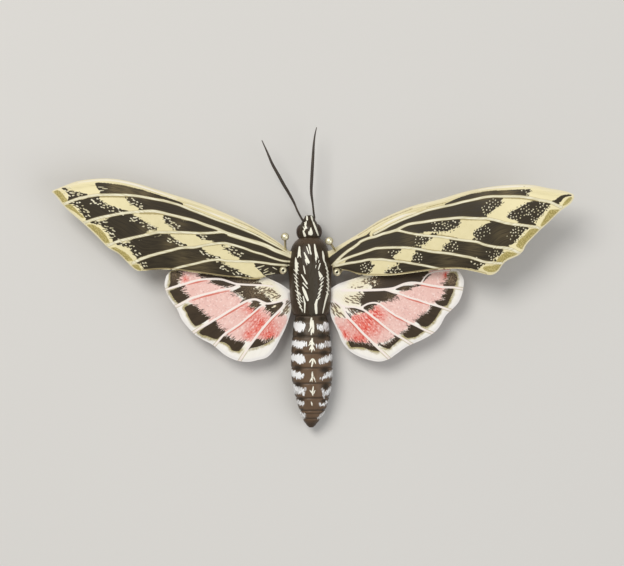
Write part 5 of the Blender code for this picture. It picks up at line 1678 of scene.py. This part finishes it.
def ring_stack(rings):
    """Close rings through the given ones, as four columns: y, half width, low and high."""
    path = smooth(rings, 8)
    path = path[np.argsort(path[:, 0])]
    count = round((path[-1, 0] - path[0, 0]) / RING_STEP)
    where = np.linspace(path[-1, 0], path[0, 0], count)
    return np.column_stack([np.interp(where, path[:, 0], path[:, k]) for k in range(4)])


def skin(rings, sides):
    """A rounded body through the rings, with domed ends.

    Gives the verts, the faces, and each vert's angle from the top and half width.
    """
    angle = np.linspace(0, 2 * math.pi, sides, endpoint=False)
    across = np.sign(np.sin(angle)) * np.abs(np.sin(angle)) ** (2 / ROUNDNESS)
    up = np.sign(np.cos(angle)) * np.abs(np.cos(angle)) ** (2 / ROUNDNESS)
    caps = []
    for y, half, low, high in (rings[0], rings[-1]):
        middle = (low + high) / 2
        caps.append([
            (y, half * part, middle + (low - middle) * part, middle + (high - middle) * part)
            for part in CAP_PARTS
        ])
    stack = np.vstack((caps[0], rings, caps[1][::-1]))
    y, half, low, high = (stack[:, k][:, None] for k in range(4))
    x = half * across[None, :]
    z = np.maximum(0.0, (low + high) / 2 + (high - low) / 2 * up[None, :])
    verts = np.column_stack((x.ravel(), np.broadcast_to(y, x.shape).ravel(), z.ravel()))
    turn = np.broadcast_to((angle + math.pi) % (2 * math.pi) - math.pi, x.shape).ravel()
    wide = np.broadcast_to(half, x.shape).ravel()
    return verts, closed_faces(len(stack), sides), turn, wide


def body_piece(name, rings, sides, look, marks):
    """A painted part of the body. Its fields are edges in mm (cream, white) or masks from 0 to 1."""
    verts, faces, turn, wide = skin(rings, sides)
    verts[:, 0] -= TIP_BEND * blend(verts[:, 1], *TIP_BEND_SPAN)
    fields = {key: empty(verts) for key in ("cream", "white")}
    fields.update({key: np.zeros(len(verts)) for key in ("grey", "warm", "shade", "thin")})
    marks(fields, verts, turn, wide)
    piece(name + "_painted", verts, faces, look, name, fields)


def stroke_marks(field, verts, turn, strokes, rows):
    """Cream strokes seen from above: single ones, and rows of short slanted ones."""
    rng = random.Random(len(strokes))
    top = np.flatnonzero(np.abs(turn) < UPPER)
    places = verts[top, :2]
    values = field[top]
    for x0, y0, x1, y1, w0, w1 in strokes:
        wide = PIXEL * np.array((w0, w0 + w1, w1)) * (1, 0.56, 1)
        draw(values, places, (plan(x0, y0), plan(x1, y1)), wide, 1)
    for slant, length, width, spacing, core, points in rows:
        path = smooth([plan(x, y) for x, y in points], 4)
        draw(values, places, path, (core * PIXEL * 0.6, core * PIXEL, core * PIXEL * 0.6), 1)
        total = length_of(path) / PIXEL
        for share in (np.arange(round(total / spacing)) + 0.5) * spacing / total:
            middle = at(path, np.array((share + rng.uniform(-0.01, 0.01),)))[0]
            way = turned(np.array((0.0, -1.0)), math.radians(slant + rng.uniform(-5, 5)))
            half = way * length * PIXEL * rng.uniform(0.42, 0.56)
            wide = width * PIXEL * rng.uniform(0.85, 1.15)
            draw(values, places, (middle - half, middle + half), (wide * 0.5, wide, wide * 0.3), 1)
    field[top] = values


def head_marks(fields, verts, turn, wide):
    stroke_marks(fields["cream"], verts, turn, HEAD_STROKES, ())


def thorax_marks(fields, verts, turn, wide):
    stroke_marks(fields["cream"], verts, turn, THORAX_STROKES, THORAX_ROWS)
    x, y = verts[:, 0], verts[:, 1]
    middle = blend(np.abs(x - 0.5), 1.0, 0.6) * blend(y, 4.2, 3.0) * (np.abs(turn) < UPPER)
    fields["grey"] = 0.5 * middle
    # The front rim is painted a lighter warm brown, a painted highlight; the sides are warmer too.
    fields["warm"] = 0.3 * blend(y, 6.4, 7.2) + 0.25 * blend(np.abs(turn), 0.9, 1.3)


def unrolled(x, y):
    """Where an abdomen mark lies once the skin is unrolled. Marks at the rim run on over the side."""
    across, along = plan(MARK_CORNER[0] + x / MARK_SCALE, MARK_CORNER[1] + y / MARK_SCALE)
    half = float(reading(ABDOMEN_WIDTHS, np.array([along]))[0])
    share = min(1.0, abs(across) / half)
    angle = 1.8 if share > 0.94 else math.asin(share ** (ROUNDNESS / 2))
    return math.copysign(angle * half, across), along


def abdomen_marks(fields, verts, turn, wide):
    y, out = verts[:, 1], np.abs(turn)
    flat = np.column_stack((turn * wide, y))
    for loop in WHITE_PATCHES:
        fill(fields["white"], flat, [unrolled(x, y) for x, y in loop], 3)
    for x0, y0, x1, y1, width in MIDDLE_STROKES:
        thick = width / MARK_SCALE * PIXEL
        ends = (unrolled(x0, y0), unrolled(x1, y1))
        draw(fields["cream"], flat, ends, (thick * 0.6, thick, thick * 0.6), 1)
    # The grooves, the last line, the sides, the tip and the black marks; the darker sides are painted
    # shade.
    shades = [
        0.6 * blend(to_groove(y), 0.22, 0.06), 0.5 * blend(np.abs(y - LAST_LINE), 0.2, 0.06),
        0.5 * blend(out, 0.95, 1.45), 0.66 * blend(y, -23.2, -24.9),
    ]
    for x, down, half_wide, half_high in BLACK_MARKS:
        gaps = (flat - unrolled(x, down)) / (half_wide, half_high) / (1.4, 1.05)
        gap = np.hypot(gaps[:, 0], gaps[:, 1]) * MARK_SCALE / PIXEL
        shades.append(0.86 * np.exp(-gap ** 4))
    fields["shade"] = np.max(shades, axis=0)
    fields["thin"] = np.where(turn > 0, 0.6, 0.05 + 0.45 * blend(y, -16, -18))
    # Less warm brown towards the sides: painted shade.
    fields["warm"] = 0.95 - 0.5 * blend(out, 0.8, 1.4)
    fields["grey"] = 0.6 * blend(y, -12.8, -8.6)


def to_groove(y):
    """How far each place along the abdomen is from its nearest groove."""
    return np.min(np.abs(y[:, None] - np.array(GROOVES)[None, :]), axis=1)


def abdomen_rings():
    where = np.linspace(*ABDOMEN_ENDS, ABDOMEN_STEPS)
    dip = GROOVE_DEPTH * np.clip(1 - to_groove(where) / GROOVE_WIDTH, 0, 1) ** 1.4
    half = reading(ABDOMEN_WIDTHS, where) - dip
    low = reading(ABDOMEN_UNDERSIDES, where)
    high = reading(ABDOMEN_TOPS, where) - dip
    return np.column_stack((where, half, low, high))


def eyes(look):
    """Two domed eyes on the sides of the head."""
    rows, columns = 40, 56
    for side, name in ((-1, "left_eye"), (1, "right_eye")):
        tilt = np.linspace(0.02, math.pi - 0.02, rows)[:, None]
        turn = np.linspace(0, 2 * math.pi, columns, endpoint=False)[None, :]
        x = side * EYE_CENTRE[0] + EYE_RADII[0] * np.cos(tilt) * np.ones_like(turn)
        y = EYE_CENTRE[1] + EYE_RADII[1] * np.sin(tilt) * np.cos(turn)
        z = EYE_CENTRE[2] + EYE_RADII[2] * np.sin(tilt) * np.sin(turn)
        verts = np.column_stack((x.ravel(), y.ravel(), z.ravel()))
        piece(name, verts, closed_faces(rows, columns), look)


# ---------------------------------------------------------------- round pieces
def tube(name, centres, radii, sides, look, node):
    """A round limb along the centres, closed at both ends."""
    along = np.gradient(centres, axis=0)
    along /= np.linalg.norm(along, axis=1)[:, None]
    level = np.array((0.0, 0.0, 1.0)) if abs(along[0][2]) < 0.9 else np.array((1.0, 0.0, 0.0))
    side = np.cross(along, level)
    side /= np.linalg.norm(side, axis=1)[:, None]
    verts = sweep(centres, radii, side, np.cross(side, along), sides)
    piece(name, verts, closed_faces(len(centres), sides), look, node)


def waves(share, count):
    """A wave between 0 and 1 that comes back to 1 this many times."""
    return 0.5 + 0.5 * np.cos(share * 2 * math.pi * count)


def antenna(name, look):
    """A spindle of many small rings."""
    path = smooth(ANTENNAE[name], 12)
    share = np.linspace(0, 1, 260)
    route = at(path, share)
    height = ANTENNA_HEIGHT + ANTENNA_ARCH * np.sin(math.pi * share)
    swell = ANTENNA_SWELL * np.sin(math.pi * np.minimum(1.0, share / 1.1) ** 0.9)
    radius = np.maximum(0.2 - 0.12 * share, swell)
    radius = radius * (1 - 0.07 * waves(share, ANTENNA_RINGS))
    ends = np.minimum(1.0, np.minimum(share, 1 - share) / 0.012)
    radius = radius * np.sqrt(1 - (1 - ends) ** 2 * 0.96)
    tube(name + "_ringed", np.column_stack((route, height)), radius, 20, look, name)


def leg(name, joints, side, look):
    """A thigh, a shin and a jointed foot that lies along the surface."""
    joints = np.asarray(joints, float) * (side, 1, 1)
    share = np.linspace(0, 1, 130)
    curved = at(smooth(joints, 24), share)
    route = at(joints, share) * LEG_STIFFNESS + curved * (1 - LEG_STIFFNESS)
    thick = np.interp(share, *np.transpose(LEG_RADII))
    foot = np.clip((share - FOOT) / (1 - FOOT), 0, 1)
    thick = thick * (1 - 0.22 * (foot > 0) * waves(foot, FOOT_JOINTS))
    route[:, 2] = np.maximum(route[:, 2], thick + 0.01)
    tube(name + "_jointed", route, thick, 18, look, name)


def pin(name, look):
    """A ball-headed pin, turned about its own line. An upright one has a small pit in its top."""
    ball, hole, point = PINS[name]
    ball, hole = np.array(ball), np.array(hole)
    way = (hole - ball) / np.linalg.norm(hole - ball)
    length = (ball[2] - point) / -way[2]
    upright = way[2] < -0.99
    profile = [(-BALL + down, radius) for down, radius in (PITTED_TOP if upright else ROUND_TOP)]
    for k in range(5, 41):
        angle = math.pi * k / 44
        profile.append((-BALL * math.cos(angle), BALL * math.sin(angle)))
    profile += [(BALL - 0.02, 0.24), (BALL + 0.08, 0.235), (BALL + 0.14, SHANK)]
    profile += [(t, SHANK) for t in np.linspace(BALL + 0.3, length - POINT, 20)]
    taper = np.linspace(length - POINT + 0.1, length, 8)
    profile += [(t, SHANK * (length - t) / POINT + 0.006) for t in taper]
    places = np.array([ball + way * t for t, _ in profile])
    side = np.cross(way, (0.0, 1.0, 0.0))
    if np.linalg.norm(side) < 0.1:
        side = np.cross(way, (1.0, 0.0, 0.0))
    side /= np.linalg.norm(side)
    verts = sweep(places, [radius for _, radius in profile], side, np.cross(side, way), PIN_SIDES)
    # The pit of an upright ball is painted dark, a painted shade in the hollow.
    pit = np.zeros(len(verts))
    pit[:len(PITTED_TOP) * PIN_SIDES] = upright
    # Painted shade: darker from just below the ball's crown downwards, less of it on the shank.
    high = (verts[:, 2] - ball[2]) / BALL
    painted_shade = 0.85 * blend(high, 0.8, 0.1) * (1 - 0.6 * blend(high, -1.0, -1.2))
    faces = closed_faces(len(places), PIN_SIDES)
    piece(name + "_turned", verts, faces, look, name, {"pit": pit, "painted_shade": painted_shade})


# ---------------------------------------------------------------- stage, in m
FLOOR_REACH = 1.5
LENS = 131.9
VIEWPOINT = (0.000315, 0.0, 0.405)


def floor():
    mesh = bpy.data.meshes.new("floor")
    corners = [(x * FLOOR_REACH, y * FLOOR_REACH, 0) for x, y in ((-1, -1), (1, -1), (1, 1), (-1, 1))]
    mesh.from_pydata(corners, [], [(0, 1, 2, 3)])
    paint = Paint("pale floor")
    cloud = paint.noise(paint.place, (6.0, 6.0, 6.0), 2.0)
    colour = paint.mix(cloud, (0.66, 0.655, 0.64), (0.7, 0.695, 0.68))
    paint.put(paint.shader.inputs["Base Color"], colour)
    paint.shader.inputs["Roughness"].default_value = 0.9
    mesh.materials.append(paint.material)
    link("floor", mesh)


def light(name, place, size, power, colour):
    lamp = bpy.data.lights.new(name, "AREA")
    lamp.shape = "DISK"
    lamp.size = size
    lamp.energy = power
    lamp.color = colour
    thing = link(name, lamp)
    thing.location = place
    thing.rotation_euler = (-Vector(place)).to_track_quat("-Z", "Y").to_euler()


def studio():
    scene = bpy.context.scene
    scene.view_settings.view_transform = "Standard"
    world = bpy.data.worlds.new("studio")
    world.use_nodes = True
    background = world.node_tree.nodes["Background"]
    background.inputs["Color"].default_value = (1.0, 0.98, 0.95, 1.0)
    background.inputs["Strength"].default_value = 0.45
    scene.world = world
    light("key", (-0.22, 0.28, 0.6), 0.35, 2.6, (1.0, 0.97, 0.92))
    light("fill", (0.4, -0.2, 0.45), 0.5, 0.8, (0.95, 0.97, 1.0))
    camera = bpy.data.cameras.new("camera")
    camera.sensor_width = 36.0
    camera.lens = LENS
    camera.clip_start = 0.01
    view = link("camera", camera)
    view.location = VIEWPOINT
    view.rotation_euler = (0.0, 0.0, -TURN)
    scene.camera = view


studio()
floor()
for fields_of, wing_paint, wing in ((forewing_fields, forewing_look(), "forewing"),
                                    (hindwing_fields, hindwing_look(), "hindwing")):
    wing_mesh("left_" + wing, fields_of, wing_paint)
    wing_mesh("right_" + wing, fields_of, wing_paint)
body_paint = body_look()
body_piece("thorax", ring_stack(THORAX_RINGS), 280, body_paint, thorax_marks)
body_piece("head", ring_stack(HEAD_RINGS), 120, body_paint, head_marks)
body_piece("abdomen", abdomen_rings(), 168, body_paint, abdomen_marks)
eyes(eye_look())
limb_paint = limb_look()
for antenna_name in ANTENNAE:
    antenna(antenna_name, limb_paint)
for leg_name, leg_joints in LEGS.items():
    leg("left_" + leg_name, leg_joints, -1, limb_paint)
    leg("right_" + leg_name, leg_joints, 1, limb_paint)
brass = brass_look()
for pin_name in PINS:
    pin(pin_name, brass)
